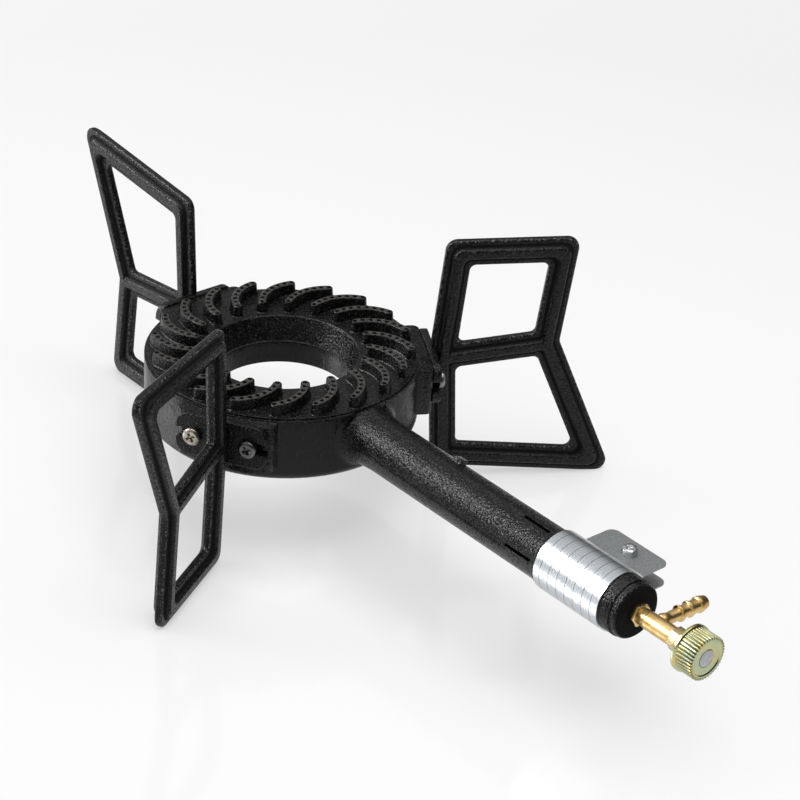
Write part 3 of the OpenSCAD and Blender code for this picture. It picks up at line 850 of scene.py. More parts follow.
@dataclass
class Leg:
    """One cast leg: a frame of beaded bars round two windows, with a slotted ear plate against the ring.

    The same casting serves three times; the right one is turned over.
    """

    name: str
    bearing: float
    turned_over: bool = False
    height: float = 160.0
    bar_w: float = 16.0
    flange_t: float = 4.6
    bead_t: float = 10.6
    bead_crest: float = 2.5
    bead_foot: float = 4.1
    edge_r: float = 1.3
    crest_r: float = 5.0
    wide_reach: float = 208.0
    narrow_reach: float = 174.0
    waist_reach: float = 167.0
    waist_drop: float = 10.0
    wide_fall: float = 9.0
    tip_grind: float = 1.2
    tip_in: float = 1.65
    tip_down: float = 1.05
    wide_root_in: float = 4.0
    narrow_root_in: float = 6.0
    ear_root_share: float = 0.3
    ear_overlap: float = 3.0
    corner_r: float = 7.0
    window_r: float = 4.0
    pad_reach: float = 86.0
    ear_w: float = 55.0
    ear_h: float = 26.5
    ear_t: float = 5.0
    ear_r: float = 7.0
    screw_z: float = 77.0
    screw_span: float = 34.0
    slot_w: float = 7.0
    flange_start: int = 11
    flat_in: float = 1.3
    flat_out: float = 1.8
    # painted shade along the bead's foot: its strength, then the band's width and height over the flange
    foot_shade: float = 0.9
    foot_w: float = 0.8
    foot_h: float = 1.0

    def middle_lines(self) -> tuple[np.ndarray, np.ndarray, np.ndarray]:
        """Corners of the bars' middle lines: the whole leg, the wide window and the narrow window.

        Returns:
            Reach and height over the leg's middle of each line's corners.
        """
        half = self.bar_w / 2
        top = self.height / 2
        root_x = self.pad_reach + self.ear_t - self.ear_overlap + half
        tip_z = top + self.tip_grind - half * self.tip_down
        wide_tip = [self.wide_reach - half * self.tip_in, tip_z]
        wide_root = [root_x + self.wide_root_in, tip_z - self.wide_fall]
        waist = [self.waist_reach - half, -self.waist_drop]
        narrow_tip = [self.narrow_reach - half, half - top]
        narrow_root = [root_x + self.narrow_root_in, half - top]
        ear_root = [root_x, -self.waist_drop * self.ear_root_share]
        return (
            np.array([ear_root, narrow_root, narrow_tip, waist, wide_tip, wide_root]),
            np.array([ear_root, waist, wide_tip, wide_root]),
            np.array([ear_root, narrow_root, narrow_tip, waist]),
        )

    def bar_profile(self) -> np.ndarray:
        """Half of a bar's section, from the bead's crest on one face round the edge to the other face.

        A straight-sided path, level over the crest, down the bead's flank, level over the flange and down
        its edge, with every corner eased by one radius.

        Returns:
            Share of the way from the middle line to the edge, and height over the middle plane.
        """
        half = self.bar_w / 2
        flange = self.flange_t / 2
        crest = self.bead_t / 2
        path = soft_path(
            [(0.0, crest), (self.bead_crest, crest), (self.bead_foot, flange), (half, flange), (half, 0.0)],
            self.edge_r,
        )
        flat = [(self.bead_foot + self.flat_in, flange), (half - self.flat_out, flange)]
        path = np.insert(path, self.flange_start, flat, axis=0)
        front = path / [half, 1.0]
        return np.concatenate([front, front[-2::-1] * [1.0, -1.0]])

    def strip(self, middle: np.ndarray, joint: np.ndarray, offset: float, radius: float) -> Surface:
        """The bars' surface between their middle line and one edge, as the section carried round the loop.

        Args:
            middle: corners of the middle line.
            joint: which corners are joints of three bars, whose crest stays a mitre.
            offset: distance of the edge outwards from it, negative for a window.
            radius: corner radius of the edge.

        Returns:
            The surface in the leg's own plane: reach, height over the middle, and thickness.
        """
        steps, run = 8, 24
        edge = rounded_loop(shifted(middle, offset), np.full(len(middle), radius), steps, run)
        crest = rounded_loop(middle, np.where(joint, 0.0, self.crest_r), steps, run)
        profile = self.bar_profile()
        plan = crest[:, None] + (edge - crest)[:, None] * profile[None, :, :1]
        thick = np.broadcast_to(profile[None, :, 1:], plan.shape[:2] + (1,))
        points = np.concatenate([plan, thick], axis=-1).reshape(-1, 3)
        across = profile[:, 0] * self.bar_w / 2
        over = np.abs(profile[:, 1]) - self.flange_t / 2
        rim = (across > self.bar_w / 2 - self.edge_r) & (over > -self.edge_r)
        # painted shade in the groove at the bead's foot
        foot = self.foot_shade * (np.abs(across - self.bead_foot) < self.foot_w) * (over < self.foot_h)
        rubbed = np.broadcast_to(rim.astype(float), plan.shape[:2])
        painted_shade = np.broadcast_to(foot, plan.shape[:2])
        faces = grid_faces(len(edge), len(profile), wrap_rows=True)
        return Surface(points, faces, rubbed.reshape(-1), painted_shade.reshape(-1))

    def frame_bars(self) -> Surface:
        """The beaded frame, standing on the floor along +X, its wide tip ground flat.

        Returns:
            The frame, before it is turned to its bearing.
        """
        whole, wide, narrow = self.middle_lines()
        half = self.bar_w / 2
        bars = joined([
            self.strip(whole, np.isin(np.arange(6), (0, 3)), half, self.corner_r),
            self.strip(wide, np.isin(np.arange(4), (0, 1)), -half, self.window_r),
            self.strip(narrow, np.isin(np.arange(4), (0, 3)), -half, self.window_r),
        ])
        reach, rise, thick = bars.points.T
        rise = np.clip(rise, -self.height / 2, self.height / 2)
        side = -1.0 if self.turned_over else 1.0
        return bars.moved(np.stack([reach, -side * thick, self.height / 2 + side * rise], axis=1))

    def ear(self, side: float) -> Surface:
        """Half of the ear plate, round its open slot.

        Points run from the slot's outline to the plate's outline, and a rounded rectangle, a superellipse of
        the eighth power, is the section across the plate.

        Args:
            side: 1 for the half on the left of the bearing, -1 for the other.

        Returns:
            The half plate, standing against the ring's pad.
        """
        arc_steps, loop_points, section_points = 10, 90, 40
        mouth, top = self.ear_w / 2, self.ear_h / 2
        slot, centre = self.slot_w / 2, self.screw_span / 2
        turn = np.linspace(np.pi / 2, 1.5 * np.pi, 24)
        round_end = slot * on_circle(turn) + [centre, 0.0]
        slot_path = np.concatenate([[[mouth, slot]], round_end, [[mouth, -slot]]])
        plate = [(mouth, slot), (mouth, top), (0.0, top), (0.0, -top), (mouth, -top), (mouth, -slot)]
        arcs = corner_arcs(
            np.array([plate[0], plate[3]]), np.array([plate[1], plate[4]]),
            np.array([plate[2], plate[5]]), np.full(2, self.ear_r), arc_steps,
        )
        plate_path = np.concatenate([plate[:1], arcs[0], plate[2:4], arcs[1], plate[5:]])
        inner = resampled(slot_path, loop_points)
        outer = resampled(plate_path, loop_points)
        angle = np.linspace(0.0, 2 * np.pi, section_points, endpoint=False)
        power = 2.0 / 8.0
        across = 0.5 + 0.5 * np.sign(np.cos(angle)) * np.abs(np.cos(angle)) ** power
        depth = self.ear_t / 2 * (1 + np.sign(np.sin(angle)) * np.abs(np.sin(angle)) ** power)
        plan = inner[:, None] + (outer - inner)[:, None] * across[None, :, None]
        reach = np.broadcast_to(self.pad_reach + depth, plan.shape[:2])
        points = np.stack([reach, side * plan[..., 0], self.screw_z + plan[..., 1]], axis=-1)
        return Surface(points.reshape(-1, 3), grid_faces(len(inner), len(angle), wrap_columns=True))

    def build(self) -> None:
        """Makes the leg in place of its CAD node."""
        whole = joined([self.frame_bars(), self.ear(1.0), self.ear(-1.0)])
        placed = whole.moved(turned(whole.points, self.bearing))
        show(mesh_of(f"{self.name}_casting", placed), LEG_IRON, Body.BURNER, self.name)


@dataclass
class RingHead:
    """The cast ring with its leg pads and its mixing tube."""

    root_r: float = 17.4
    tube_r: float = 15.8
    flare_from: float = 79.5
    flare_to: float = 97.5
    fillet: float = 7.0
    least_fillet: float = 0.25
    fillet_run: float = 1.5
    side_power: float = 1.2
    sink: float = 0.12
    edge_mm: float = 1.1
    sharp_degrees: float = 50.0

    def tube_fillet(self) -> Surface:
        """The concave curve between the ring's wall and the tube.

        Round the tube by angle, a quadratic curve runs from the wall to the tube with its control point in
        the corner between them. It is widest at the sides, where the wall has room for it.

        Returns:
            The fillet, with both edges just inside the castings.
        """
        rows, columns = 11, 120
        angle = np.linspace(0.0, 2 * np.pi, columns, endpoint=False)
        size = self.least_fillet + self.fillet * np.abs(np.cos(angle)) ** self.side_power

        def on_wall(radius: np.ndarray, inwards: float) -> np.ndarray:
            """Points of the ring's wall at a radius from the tube's axis.

            Args:
                radius: distance from the tube's axis, by angle.
                inwards: how far inside the wall the points lie.

            Returns:
                One point an angle.
            """
            across = radius * np.cos(angle)
            back = -np.sqrt((RING_R - inwards) ** 2 - across ** 2)
            return np.stack([across, back, TUBE_Z + radius * np.sin(angle)], axis=1)

        corner = on_wall(np.full_like(angle, self.root_r), 0.0)
        wall = on_wall(self.root_r + size, self.sink)
        station = -corner[:, 1] + size * self.fillet_run
        slope = (station - self.flare_from) / (self.flare_to - self.flare_from)
        radius = self.root_r + (self.tube_r - self.root_r) * np.clip(slope, 0.0, 1.0) - self.sink
        tube = np.stack([radius * np.cos(angle), -station, TUBE_Z + radius * np.sin(angle)], axis=1)
        share = np.linspace(0.0, 1.0, rows)[:, None, None]
        points = (1 - share) ** 2 * wall + 2 * share * (1 - share) * corner + share ** 2 * tube
        return Surface(points.reshape(-1, 3), grid_faces(rows, columns, wrap_columns=True))

    def build(self) -> None:
        """Makes the head's pieces."""
        base = eased_copy("burner_base", "burner_base_casting", self.edge_mm)
        base.set_sharp_from_angle(angle=math.radians(self.sharp_degrees))
        show(base, HEAD_IRON, Body.BURNER, "burner_base")
        show(mesh_of("tube_fillet", self.tube_fillet()), HEAD_IRON, Body.BURNER)


@dataclass
class RibbedCover:
    """The cover that lies in the ring: a plate, a skirt down the bore and curved ribs full of flame ports."""

    cover_r: float = 79.9
    rim_r: float = 44.8
    rim_bevel: float = 0.6
    skirt_r: float = 39.2
    skirt_outer_r: float = 44.2
    top_z: float = 90.5
    plate_t: float = 6.0
    skirt_h: float = 15.0
    gusset: float = 5.0
    corner_r: float = 0.25
    rubbed_w: float = 0.9
    ribs: int = 20
    phase: float = -4.7
    rib_w: float = 6.2
    rib_h: float = 7.0
    rib_in_r: float = 48.3
    rib_out_r: float = 76.5
    rib_sweep: float = 20.5
    rib_arc_r: float = 26.0
    crown_r: float = 0.8
    draft: float = 0.5
    foot_flare: float = 0.8
    foot_sink: float = 0.4
    foot_h: float = 0.6
    ports: int = 8
    port_r: float = 1.2
    port_depth: float = 6.4
    port_ease: float = 0.1
    # width beyond each port's mouth over which its painted black shade fades out
    port_shade_w: float = 0.35
    port_margin: float = 0.55

    def plate(self) -> Surface:
        """Plate and skirt: one closed section with eased corners, turned round the ring's axis.

        Returns:
            The closed surface, rubbed at the skirt's lower inner edge.
        """
        ledge, seam = self.top_z - self.plate_t, self.top_z - self.skirt_h
        section = np.array([
            (self.skirt_r, seam),
            (self.skirt_outer_r, seam),
            (self.skirt_outer_r + self.gusset, ledge),
            (self.cover_r, ledge),
            (self.cover_r, self.top_z),
            (self.rim_r + self.rim_bevel, self.top_z),
            (self.rim_r, self.top_z - self.rim_bevel),
        ])
        steps, runs, round_axis = 3, 16, 160
        loop = rounded_loop(section, np.full(len(section), self.corner_r), steps, runs)
        rubbed = np.hypot(loop[:, 0] - self.skirt_r, loop[:, 1] - seam) < self.rubbed_w
        raised = np.repeat(rubbed, round_axis).astype(float)
        return replace(lathed(loop, round_axis, closed=True), raised=raised)

    def spine(self) -> tuple[np.ndarray, float, float]:
        """Centre, first angle and turn of a rib's middle line, for the rib that starts on +X.

        The line is an arc of given radius between a point on the inner circle and one on the outer circle.

        Returns:
            The arc's centre, and in radians the angles where it starts and that it turns.
        """
        sweep = math.radians(self.rib_sweep)
        start = np.array([self.rib_in_r, 0.0])
        end = self.rib_out_r * on_circle(-sweep)
        chord = end - start
        length = np.linalg.norm(chord)
        rise = math.sqrt(self.rib_arc_r ** 2 - (length / 2) ** 2)
        centre = (start + end) / 2 + rise * np.array([chord[1], -chord[0]]) / length
        first = math.atan2(start[1] - centre[1], start[0] - centre[0])
        return centre, first, 2 * math.asin(length / 2 / self.rib_arc_r)

    def rib_section(self) -> tuple[np.ndarray, np.ndarray]:
        """Half of a rib's section: distance from the spine and height over the plate, from foot to crown.

        Returns:
            The distances and the heights, in the same order.
        """
        steps, crown_points = 3, 10
        foot, top = self.rib_w / 2, self.rib_w / 2 - self.draft
        low = (foot + self.foot_flare, -self.foot_sink)
        corners = [low, (foot, self.foot_h), (top, self.rib_h), (0.0, self.rib_h)]
        flank = soft_path(corners, self.crown_r, steps)[:-1]
        crown = np.linspace(flank[-1, 0], 0.0, crown_points)[1:]
        off = np.concatenate([flank[:, 0], crown])
        height = np.concatenate([flank[:, 1], np.full(len(crown), self.rib_h)])
        return off, height

    def rib(self) -> Surface:
        """One rib: its half section carried round the spine, with half circles at both ends.

        Each point is a spine point plus its distance along a direction square to the spine, or fanned out
        round an end. Ports are round pits sunk into the crown along the spine; painted shade blackens them
        from a narrow ring round each mouth down.

        Returns:
            The rib that starts on +X.
        """
        spine_points, fan_points = 120, 9
        centre, first, turn = self.spine()
        off, height = self.rib_section()
        inset = (self.rib_w / 2) / self.rib_arc_r
        angle = np.linspace(first - inset, first - turn + inset, spine_points)
        outward = on_circle(angle)
        line = centre + self.rib_arc_r * outward
        fan = np.linspace(0.0, np.pi, fan_points)[1:-1, None]
        ahead = np.array([outward[-1, 1], -outward[-1, 0]])
        behind = np.array([-outward[0, 1], outward[0, 0]])
        far_end = outward[-1] * np.cos(fan) + ahead * np.sin(fan)
        near_end = -outward[0] * np.cos(fan) + behind * np.sin(fan)
        base = np.concatenate([
            line, np.repeat(line[-1:], len(fan), 0), line[::-1], np.repeat(line[:1], len(fan), 0)
        ])
        away = np.concatenate([outward, far_end, -outward[::-1], near_end])
        plan = base[None] + off[:, None, None] * away[None]
        margin = self.port_margin / self.ports
        share = margin + (1 - 2 * margin) * np.arange(self.ports) / (self.ports - 1)
        holes = centre + self.rib_arc_r * on_circle(first - turn * share)
        gap = np.linalg.norm(plan[:, :, None] - holes, axis=-1).min(axis=-1)
        on_crown = np.isclose(height, self.rib_h)[:, None]
        inside, mouth = self.port_r - self.port_ease, self.port_r + self.port_ease
        sunk = np.where(on_crown, 1 - smooth_step(inside, mouth, gap), 0.0)
        # painted shade: black inside each port, fading out round its mouth
        painted_shade = np.where(on_crown, 1 - smooth_step(mouth, self.port_r + self.port_shade_w, gap), 0.0)
        rise = self.top_z + height[:, None] - self.port_depth * sunk
        points = np.concatenate([plan, rise[..., None]], axis=-1)
        raised = np.where(on_crown, 1 - painted_shade, 0.0)
        faces = grid_faces(len(off), len(base), wrap_columns=True)
        return Surface(points.reshape(-1, 3), faces, raised.reshape(-1), painted_shade.reshape(-1))

    def build(self) -> None:
        """Makes the plate with its skirt in place of the CAD node, and the ribs on it."""
        show(mesh_of("burner_cover_casting", self.plate()), COVER_IRON, Body.BURNER, "burner_cover")
        rib = self.rib()
        turns = self.phase + np.arange(self.ribs) * 360.0 / self.ribs
        ribs = [rib.moved(turned(rib.points, turn)) for turn in turns]
        show(mesh_of("burner_cover_ribs", joined(ribs)), COVER_IRON, Body.BURNER)


@dataclass
class LegScrews:
    """The cross-recess screws of one leg."""

    node: str
    finish: Finish
    edge_mm: float = 0.22

    def build(self) -> None:
        """Makes the screws with their edges eased."""
        mesh = eased_copy(self.node, f"{self.node}_plated", self.edge_mm)
        show(mesh, self.finish, Body.BURNER, self.node)


@dataclass
class AirBand:
    """The zinc sheet band round the tube's end, with its ears and clamp bolt."""

    front: float = 289.5
    length: float = 48.5
    inner_r: float = 16.75
    sheet_t: float = 0.9
    ear_gap: float = 11.0
    ear_reach: float = 39.6
    inset_back: float = 0.8
    inset_front: float = 4.0
    ear_r: float = 5.0
    ear_from: float = 0.6
    ear_full: float = 2.2
    bend_r: float = 1.9
    bolt_edge_mm: float = 0.22
    nut_edge_mm: float = 0.3
    sharp_degrees: float = 40.0

    def path(self) -> np.ndarray:
        """The sheet's middle line across the tube, from one ear's tip round the tube to the other's.

        Each ear is a straight run that a bend of its own radius joins to the circle round the tube.

        Returns:
            Points across the tube, sideways and up from its axis.
        """
        tip_points, ear_points, bend_points, circle_points = 10, 14, 9, 161
        circle_r = self.inner_r + self.sheet_t / 2
        level = self.ear_gap / 2 + self.sheet_t / 2
        bend_z = level + self.bend_r
        bend_x = math.sqrt((circle_r + self.bend_r) ** 2 - bend_z ** 2)
        lean = math.atan2(bend_z, bend_x)
        tip = self.ear_reach - self.ear_r * (1 - np.sin(np.linspace(0.5 * np.pi, 0.0, tip_points)))
        straight = np.concatenate([tip, np.linspace(tip[-1], bend_x, ear_points)[1:]])
        ear = np.stack([straight, np.full_like(straight, level)], axis=1)
        turn = np.linspace(-0.5 * np.pi, -np.pi + lean, bend_points)[1:]
        bend = self.bend_r * on_circle(turn) + [bend_x, bend_z]
        round_tube = np.linspace(lean, 2 * np.pi - lean, circle_points)[1:-1]
        circle = circle_r * on_circle(round_tube)
        upper = np.concatenate([ear, bend])
        return np.concatenate([upper, circle, upper[::-1] * [1.0, -1.0]])

    def sheet(self) -> Surface:
        """The bent sheet: its middle line carried along the tube, with half its thickness on either side.

        The ears start a little in from the band's edges and end in rounded corners.

        Returns:
            The closed sheet in its place on the tube.
        """
        line = self.path()
        along = unit(np.gradient(line, axis=0))
        normal = np.stack([along[:, 1], -along[:, 0]], axis=1)
        on_ear = smooth_step(self.inner_r + self.ear_from, self.inner_r + self.ear_full, line[:, 0])
        past = np.clip((line[:, 0] - self.ear_reach + self.ear_r) / self.ear_r, 0.0, 1.0)
        corner = self.ear_r * (1 - np.sqrt(1 - past ** 2))
        back = self.front - self.length + on_ear * self.inset_back + corner
        front = self.front - on_ear * self.inset_front - corner
        across_points = 13
        share = np.linspace(0.0, 1.0, across_points)
        station = back[:, None] + (front - back)[:, None] * share
        sides = []
        for side in (0.5, -0.5):
            edge = line + normal * side * self.sheet_t
            flat = np.broadcast_to(edge[:, None, :], station.shape + (2,))
            sides.append(np.stack([flat[..., 0], -station, TUBE_Z + flat[..., 1]], axis=-1))
        loop = np.concatenate([sides[0], sides[1][:, ::-1]], axis=1)
        rows, columns = loop.shape[:2]
        body = grid_faces(rows, columns, wrap_columns=True)
        k = np.arange(across_points - 1)
        cap = np.stack([k, k + 1, columns - 2 - k, columns - 1 - k], axis=1)
        faces = np.concatenate([body, cap, cap[:, ::-1] + (rows - 1) * columns])
        return Surface(loop.reshape(-1, 3), faces)

    def build(self) -> None:
        """Makes the band, its bolt and its nut."""
        band = mesh_of("air_band_sheet", self.sheet())
        band.set_sharp_from_angle(angle=math.radians(self.sharp_degrees))
        show(band, BAND_ZINC, Body.BAND, "air_band")
        for node, edge_mm in (("clamp_bolt", self.bolt_edge_mm), ("clamp_nut", self.nut_edge_mm)):
            show(eased_copy(node, f"{node}_plated", edge_mm), BRIGHT_BOLT, Body.BAND, node)


@dataclass
class NeedleValve:
    """The brass valve on the tube's end, its nuts and its hose tail."""

    neck_r: float = 4.3
    neck_top_r: float = 4.95
    nut_front: float = 3.75
    neck_from: float = -9.0
    gas_way_r: float = 1.5
    stem_hole_r: float = 2.2
    bevel: float = 0.5
    shoulder: float = 0.6
    body_r: float = 5.2
    body_from: float = 7.6
    body_to: float = 27.6
    tail_station: float = 13.2
    core_r: float = 3.35
    step_r: float = 0.25
    ridge_r: float = 4.6
    bore_r: float = 1.8
    collar_r: float = 4.1
    collar_from: float = 3.8
    collar_to: float = 8.6
    collar_taper: float = 2.2
    collar_foot: float = 0.9
    tail_reach: float = 36.8
    tip_run: float = 5.6
    tip_bevel: float = 0.6
    tip_step: float = 1.0
    ridge_back: float = 1.5
    ridge_flat: float = 0.9
    ridge_fall: float = 0.8
    last_back: float = 1.3
    pitch: float = 6.7
    ridges: int = 3
    shoulder_r: float = 0.25
    ridge_edge_r: float = 0.2
    nut_edge_mm: float = 0.25
    nut_edge_degrees: float = 25.0
    end_gap: float = 0.1
    body_points: int = 72
    tail_points: int = 64
    sharp_degrees: float = 40.0

    def body(self) -> Surface:
        """Neck and body as one turned profile with eased shoulders.

        Returns:
            The surface in its place on the tube's end.
        """
        path = soft_path(
            [
                (self.gas_way_r, self.neck_from),
                (self.neck_r, self.neck_from),
                (self.neck_r, self.nut_front),
                (self.neck_top_r, self.nut_front + self.bevel),
                (self.neck_top_r, self.body_from + self.shoulder),
                (self.body_r, self.body_from + 2 * self.shoulder),
                (self.body_r, self.body_to - self.bevel),
                (self.body_r - self.bevel, self.body_to),
                (self.stem_hole_r, self.body_to),
            ],
            self.shoulder_r,
        )
        return along_tube(lathed(path, self.body_points))

    def tail(self) -> Surface:
        """The hose tail, turned round its own axis along +X: a collar, then ridges that fall to the tip.

        Returns:
            The surface in its place at the body's side.
        """
        profile = [
            (self.bore_r, self.collar_from),
            (self.collar_r, self.collar_from),
            (self.collar_r, self.collar_to - self.collar_taper),
            (self.core_r, self.collar_to + self.collar_foot),
        ]
        first = self.tail_reach - self.tip_run - self.pitch * (self.ridges - 1)
        for number in range(self.ridges - 1):
            crest = first + number * self.pitch
            before = self.core_r + number * self.step_r
            profile += [
                (before, crest - self.ridge_back),
                (self.ridge_r, crest - self.ridge_flat),
                (self.ridge_r, crest),
                (before + self.step_r, crest + self.ridge_fall),
            ]
        last = self.tail_reach - self.tip_run
        profile += [
            (self.core_r + self.step_r * (self.ridges - 1), last - self.last_back),
            (self.ridge_r, last - self.tip_bevel),
            (self.ridge_r, last + self.ridge_fall),
            (self.ridge_r - self.tip_step, self.tail_reach - self.tip_bevel),
            (self.ridge_r - self.tip_step - self.tip_bevel, self.tail_reach),
            (self.bore_r, self.tail_reach),
            (self.bore_r, self.collar_from + self.end_gap),
        ]
        part = lathed(soft_path(profile, self.ridge_edge_r), self.tail_points)
        return part.moved(part.points[:, [2, 0, 1]] + [0.0, -TUBE_END - self.tail_station, TUBE_Z])

    def build(self) -> None:
        """Makes the valve's pieces."""
        show(mesh_of("valve_body_turned", self.body()), BODY_BRASS, Body.BURNER, "valve_body")
        show(mesh_of("hose_tail_turned", self.tail()), TAIL_BRASS, Body.BURNER, "hose_tail")
        for node in ("lock_nut", "gland_nut"):
            nut = eased_copy(node, f"{node}_milled", self.nut_edge_mm, self.nut_edge_degrees)
            nut.set_sharp_from_angle(angle=math.radians(self.sharp_degrees))
            show(nut, NUT_BRASS, Body.BURNER, node)
        dress("injector_jet", BODY_BRASS)
        dress("packing_ring", NUT_BRASS)
        dress("stem_packing", GRAPHITE)


@dataclass
class Handwheel:
    """The fluted knob on the spindle, with the plain disc in its face."""

    back: float = 37.8
    front: float = 50.8
    knob_r: float = 12.6
    flange_r: float = 13.5
    flange_t: float = 1.8
    bore_r: float = 2.25
    pocket_r: float = 4.95
    pocket_depth: float = 2.0
    dish: float = 0.6
    rim_w: float = 2.4
    bore_bevel: float = 0.3
    pocket_bevel: float = 0.35
    flange_slope: float = 0.6
    flutes: int = 40
    flute_r: float = 0.66
    flute_depth: float = 0.85
    flute_points: int = 14
    flute_from: float = 0.5
    flute_fade: float = 0.8
    fade_in: float = 0.6
    fade_out: float = 0.3
    edge_r: float = 0.28
    edge_steps: int = 5
    disc_edge_mm: float = 0.2

    def wheel(self) -> Surface:
        """The knob: a turned profile whose fluted part is cut by round grooves.

        A groove is half an ellipse, as wide as the flute and as deep as its depth; it fades out at the
        flange and at the front edge.

        Returns:
            The knob in its place, with its grooves marked for painted shade.
        """
        dish_r = self.knob_r - self.rim_w
        path = soft_path(
            [
                (self.bore_r, self.back + self.bore_bevel),
                (self.bore_r + self.bore_bevel, self.back),
                (self.flange_r, self.back),
                (self.flange_r, self.back + self.flange_t),
                (self.knob_r, self.back + self.flange_t + self.flange_slope),
                (self.knob_r, self.front),
                (dish_r, self.front),
                (dish_r - self.dish, self.front - self.dish),
                (self.pocket_r + self.pocket_bevel, self.front - self.dish),
                (self.pocket_r, self.front - self.dish - self.pocket_bevel),
                (self.pocket_r, self.front - self.pocket_depth),
                (self.bore_r, self.front - self.pocket_depth),
            ],
            self.edge_r,
            self.edge_steps,
        )
        count = self.flutes * self.flute_points
        angle = np.linspace(0.0, 2 * np.pi, count, endpoint=False)
        pitch = 2 * np.pi / self.flutes
        off = self.knob_r * ((angle + pitch / 2) % pitch - pitch / 2)
        groove = self.flute_depth * np.sqrt(np.clip(1 - (off / self.flute_r) ** 2, 0.0, None))
        radius, station = path[:, :1], path[:, 1:]
        start = self.back + self.flange_t + self.flute_from
        past_flange = smooth_step(start, start + self.flute_fade, station)
        off_face = smooth_step(dish_r + self.fade_in, self.knob_r - self.fade_out, radius)
        cut = past_flange * off_face * groove
        # each groove's depth is its share of painted shade
        return along_tube(replace(lathed(path, count, cut), painted_shade=(cut / self.flute_depth).reshape(-1)))

    def build(self) -> None:
        """Makes the knob and dresses the disc and the spindle."""
        show(mesh_of("knob_fluted", self.wheel()), KNOB_FILM, Body.HANDWHEEL, "knob")
        disc = eased_copy("knob_disc", "knob_disc_plain", self.disc_edge_mm)
        show(disc, DISC_STEEL, Body.HANDWHEEL, "knob_disc")
        dress("spindle", SPINDLE_STEEL)


@dataclass(frozen=True)
class WhiteSweep(Finish):
    """White glazed board: it mirrors the part faintly and keeps the shadows that fall on it."""

    paper: str = "#bcbcbc"
    glow: float = 0.475
    far_glow: float = 0.77
    near_m: float = 0.8
    far_m: float = 2.6
    rough: float = 0.1

    def draw(self, board: ShaderBoard) -> None:
        """A glazed white with a glow that only camera, glossy and transmission rays see.

        It grows away from the lamps, so that the floor stays white as far as it goes.

        Args:
            board: the material's board.
        """
        rays = board.add("LightPath", out=None).outputs
        seen = rays["Is Camera Ray"]
        for ray in ("Is Glossy Ray", "Is Transmission Ray"):
            seen = board.add("Math", {0: seen, 1: rays[ray]}, operation="MAXIMUM")
        away = board.add("VectorMath", {0: board.place}, "Value", operation="LENGTH")
        spread = board.add(
            "MapRange",
            {
                "Value": away, "From Min": self.near_m, "From Max": self.far_m,
                "To Min": self.glow, "To Max": self.far_glow,
            },
        )
        glow = board.add("Math", {0: seen, 1: spread}, operation="MULTIPLY")
        board.set(Base_Color=self.paper, Roughness=self.rough, IOR=1.45)
        board.set(Emission_Color="#ffffff", Emission_Strength=glow)


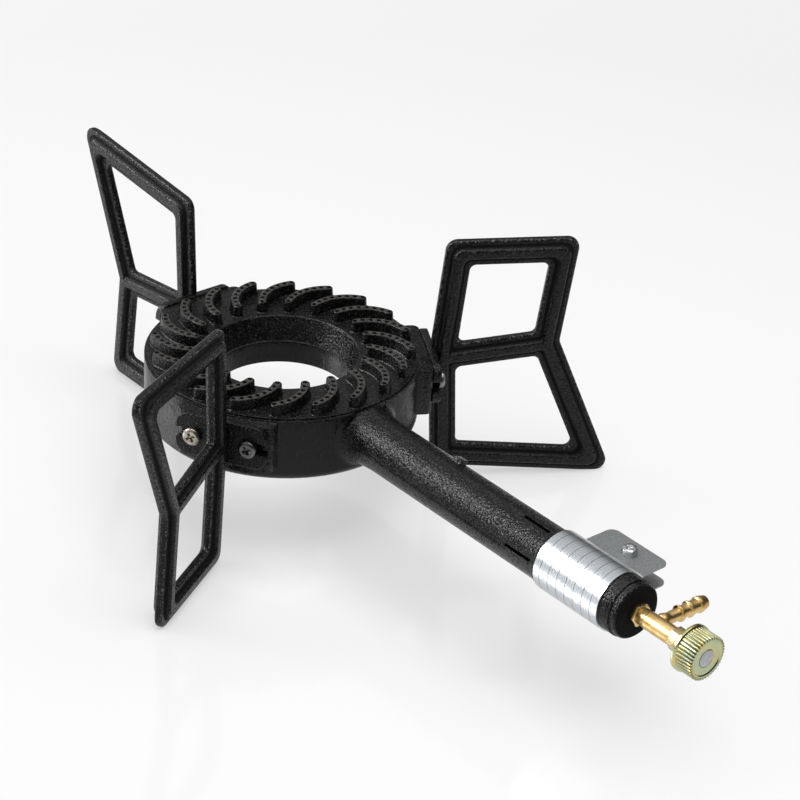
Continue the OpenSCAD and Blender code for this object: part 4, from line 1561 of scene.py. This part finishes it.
@dataclass
class Studio:
    """White floor, soft lamps and the camera at the photograph's angle."""

    azimuth: float = -41.35
    elevation: float = 29.56
    roll: float = 3.32
    distance: float = 1558.28
    target: tuple[float, float, float] = (58.83, -40.03, 56.84)
    lens: float = 117.04
    sensor: float = 36.0
    world_light: float = 0.35
    bright_side: tuple[float, float, float] = (-0.3, 0.55, 0.78)
    front_shine: float = 0.05
    back_shine: float = 0.75
    panel: tuple[float, float, float] = (-0.57, 0.65, 0.5)
    panel_shine: float = 24.0
    panel_edge: tuple[float, float] = (0.95, 0.985)
    grade: tuple[float, float] = (0.2, 0.65)
    backdrop: float = 0.945
    floor_reach: float = 40.0
    lamp_aim: tuple[float, float, float] = (0.0, 0.03, 0.07)
    lamps: dict[str, tuple[tuple[float, float, float], float, float]] = field(
        default_factory=lambda: {
            "top_softbox": ((0.0, -0.35, 2.0), 2.2, 37.0),
            "window_softbox": ((-1.3, 1.5, 1.15), 1.0, 8.0),
        }
    )

    def floor(self) -> None:
        """Lays a wide white floor under the burner."""
        reach = self.floor_reach
        mesh = bpy.data.meshes.new("studio_floor")
        corners = [(-reach, -reach, 0.0), (reach, -reach, 0.0), (reach, reach, 0.0), (-reach, reach, 0.0)]
        mesh.from_pydata(corners, [], [(0, 1, 2, 3)])
        mesh.materials.append(WhiteSweep("white glazed board").material())
        floor = bpy.data.objects.new("studio_floor", mesh)
        bpy.context.scene.collection.objects.link(floor)

    def light(self) -> None:
        """Hangs the softboxes, each facing the burner, in a white room."""
        aim = Vector(self.lamp_aim)
        for name, (place, size, power) in self.lamps.items():
            lamp = bpy.data.lights.new(name, "AREA")
            lamp.shape = "SQUARE"
            lamp.size = size
            lamp.energy = power
            hung = bpy.data.objects.new(name, lamp)
            hung.location = place
            hung.visible_camera = False
            hung.rotation_euler = (aim - Vector(place)).to_track_quat("-Z", "Y").to_euler()
            bpy.context.scene.collection.objects.link(hung)
        self.room()

    def room(self) -> None:
        """A white room: evenly white to the camera, and graded for glossy rays.

        They see it bright above and behind the part, dark in front of it, and one brighter panel.
        """
        world = bpy.data.worlds.new("white_room")
        bpy.context.scene.world = world
        board = Board(world)
        rays = board.add("LightPath", out=None).outputs
        where = board.add("TexCoord", out="Generated")
        behind = board.add("VectorMath", {0: where, 1: self.bright_side}, "Value", operation="DOT_PRODUCT")
        graded = board.add(
            "MapRange",
            {
                "Value": behind, "From Min": self.grade[0], "From Max": self.grade[1],
                "To Min": self.front_shine, "To Max": self.back_shine,
            },
        )
        facing = board.add("VectorMath", {0: where, 1: self.panel}, "Value", operation="DOT_PRODUCT")
        edge, full = self.panel_edge
        panel = board.add(
            "MapRange",
            {"Value": facing, "From Min": edge, "From Max": full, "To Max": self.panel_shine},
            interpolation_type="SMOOTHSTEP",
        )
        gleam = board.add("Math", {0: graded, 1: panel}, operation="ADD")
        shiny = board.add(
            "Math", {0: rays["Is Glossy Ray"], 1: rays["Is Transmission Ray"]}, operation="MAXIMUM"
        )
        lit = board.add("Mix", {0: shiny, 2: self.world_light, 3: gleam})
        seen = board.add("Mix", {0: rays["Is Camera Ray"], 2: lit, 3: self.backdrop})
        sky = board.add("Background", {"Strength": seen})
        board.add("OutputWorld", {"Surface": sky}, None)

    def camera(self) -> None:
        """Sets the camera by its bearing, height, roll and distance from the point it looks at."""
        azimuth, elevation, roll = map(math.radians, (self.azimuth, self.elevation, self.roll))
        back = Vector((
            math.sin(azimuth) * math.cos(elevation),
            -math.cos(azimuth) * math.cos(elevation),
            math.sin(elevation),
        ))
        level = Vector((math.cos(azimuth), math.sin(azimuth), 0.0))
        up = back.cross(level)
        right = level * math.cos(roll) + up * math.sin(roll)
        above = up * math.cos(roll) - level * math.sin(roll)
        target = Vector(self.target) * MM + Vector((0.0, ring_axis(), 0.0))
        eye = target + back * self.distance * MM
        lens = bpy.data.cameras.new("photo_camera")
        lens.lens = self.lens
        lens.sensor_width = self.sensor
        lens.clip_start = 0.05
        lens.clip_end = 100.0
        held = bpy.data.objects.new("photo_camera", lens)
        held.matrix_world = Matrix((
            (right.x, above.x, back.x, eye.x),
            (right.y, above.y, back.y, eye.y),
            (right.z, above.z, back.z, eye.z),
            (0.0, 0.0, 0.0, 1.0),
        ))
        bpy.context.scene.collection.objects.link(held)
        bpy.context.scene.camera = held

    def build(self) -> None:
        """Sets up the whole studio."""
        bpy.context.scene.view_settings.view_transform = "Standard"
        self.floor()
        self.light()
        self.camera()


def main() -> None:
    """Builds the studio and the burner's sub-assemblies in order."""
    logging.basicConfig(level=logging.INFO, format="%(name)s: %(message)s")
    Studio().build()
    RingHead().build()
    RibbedCover().build()
    Leg("leg_rear", 90.0).build()
    Leg("leg_right", -30.0, turned_over=True).build()
    Leg("leg_left", -150.0).build()
    LegScrews("rear_leg_screws", PALE_SCREW).build()
    LegScrews("right_leg_screws", GREY_SCREW).build()
    LegScrews("left_leg_screws", MIXED_SCREW).build()
    AirBand().build()
    NeedleValve().build()
    Handwheel().build()


if __name__ == "__main__":
    main()
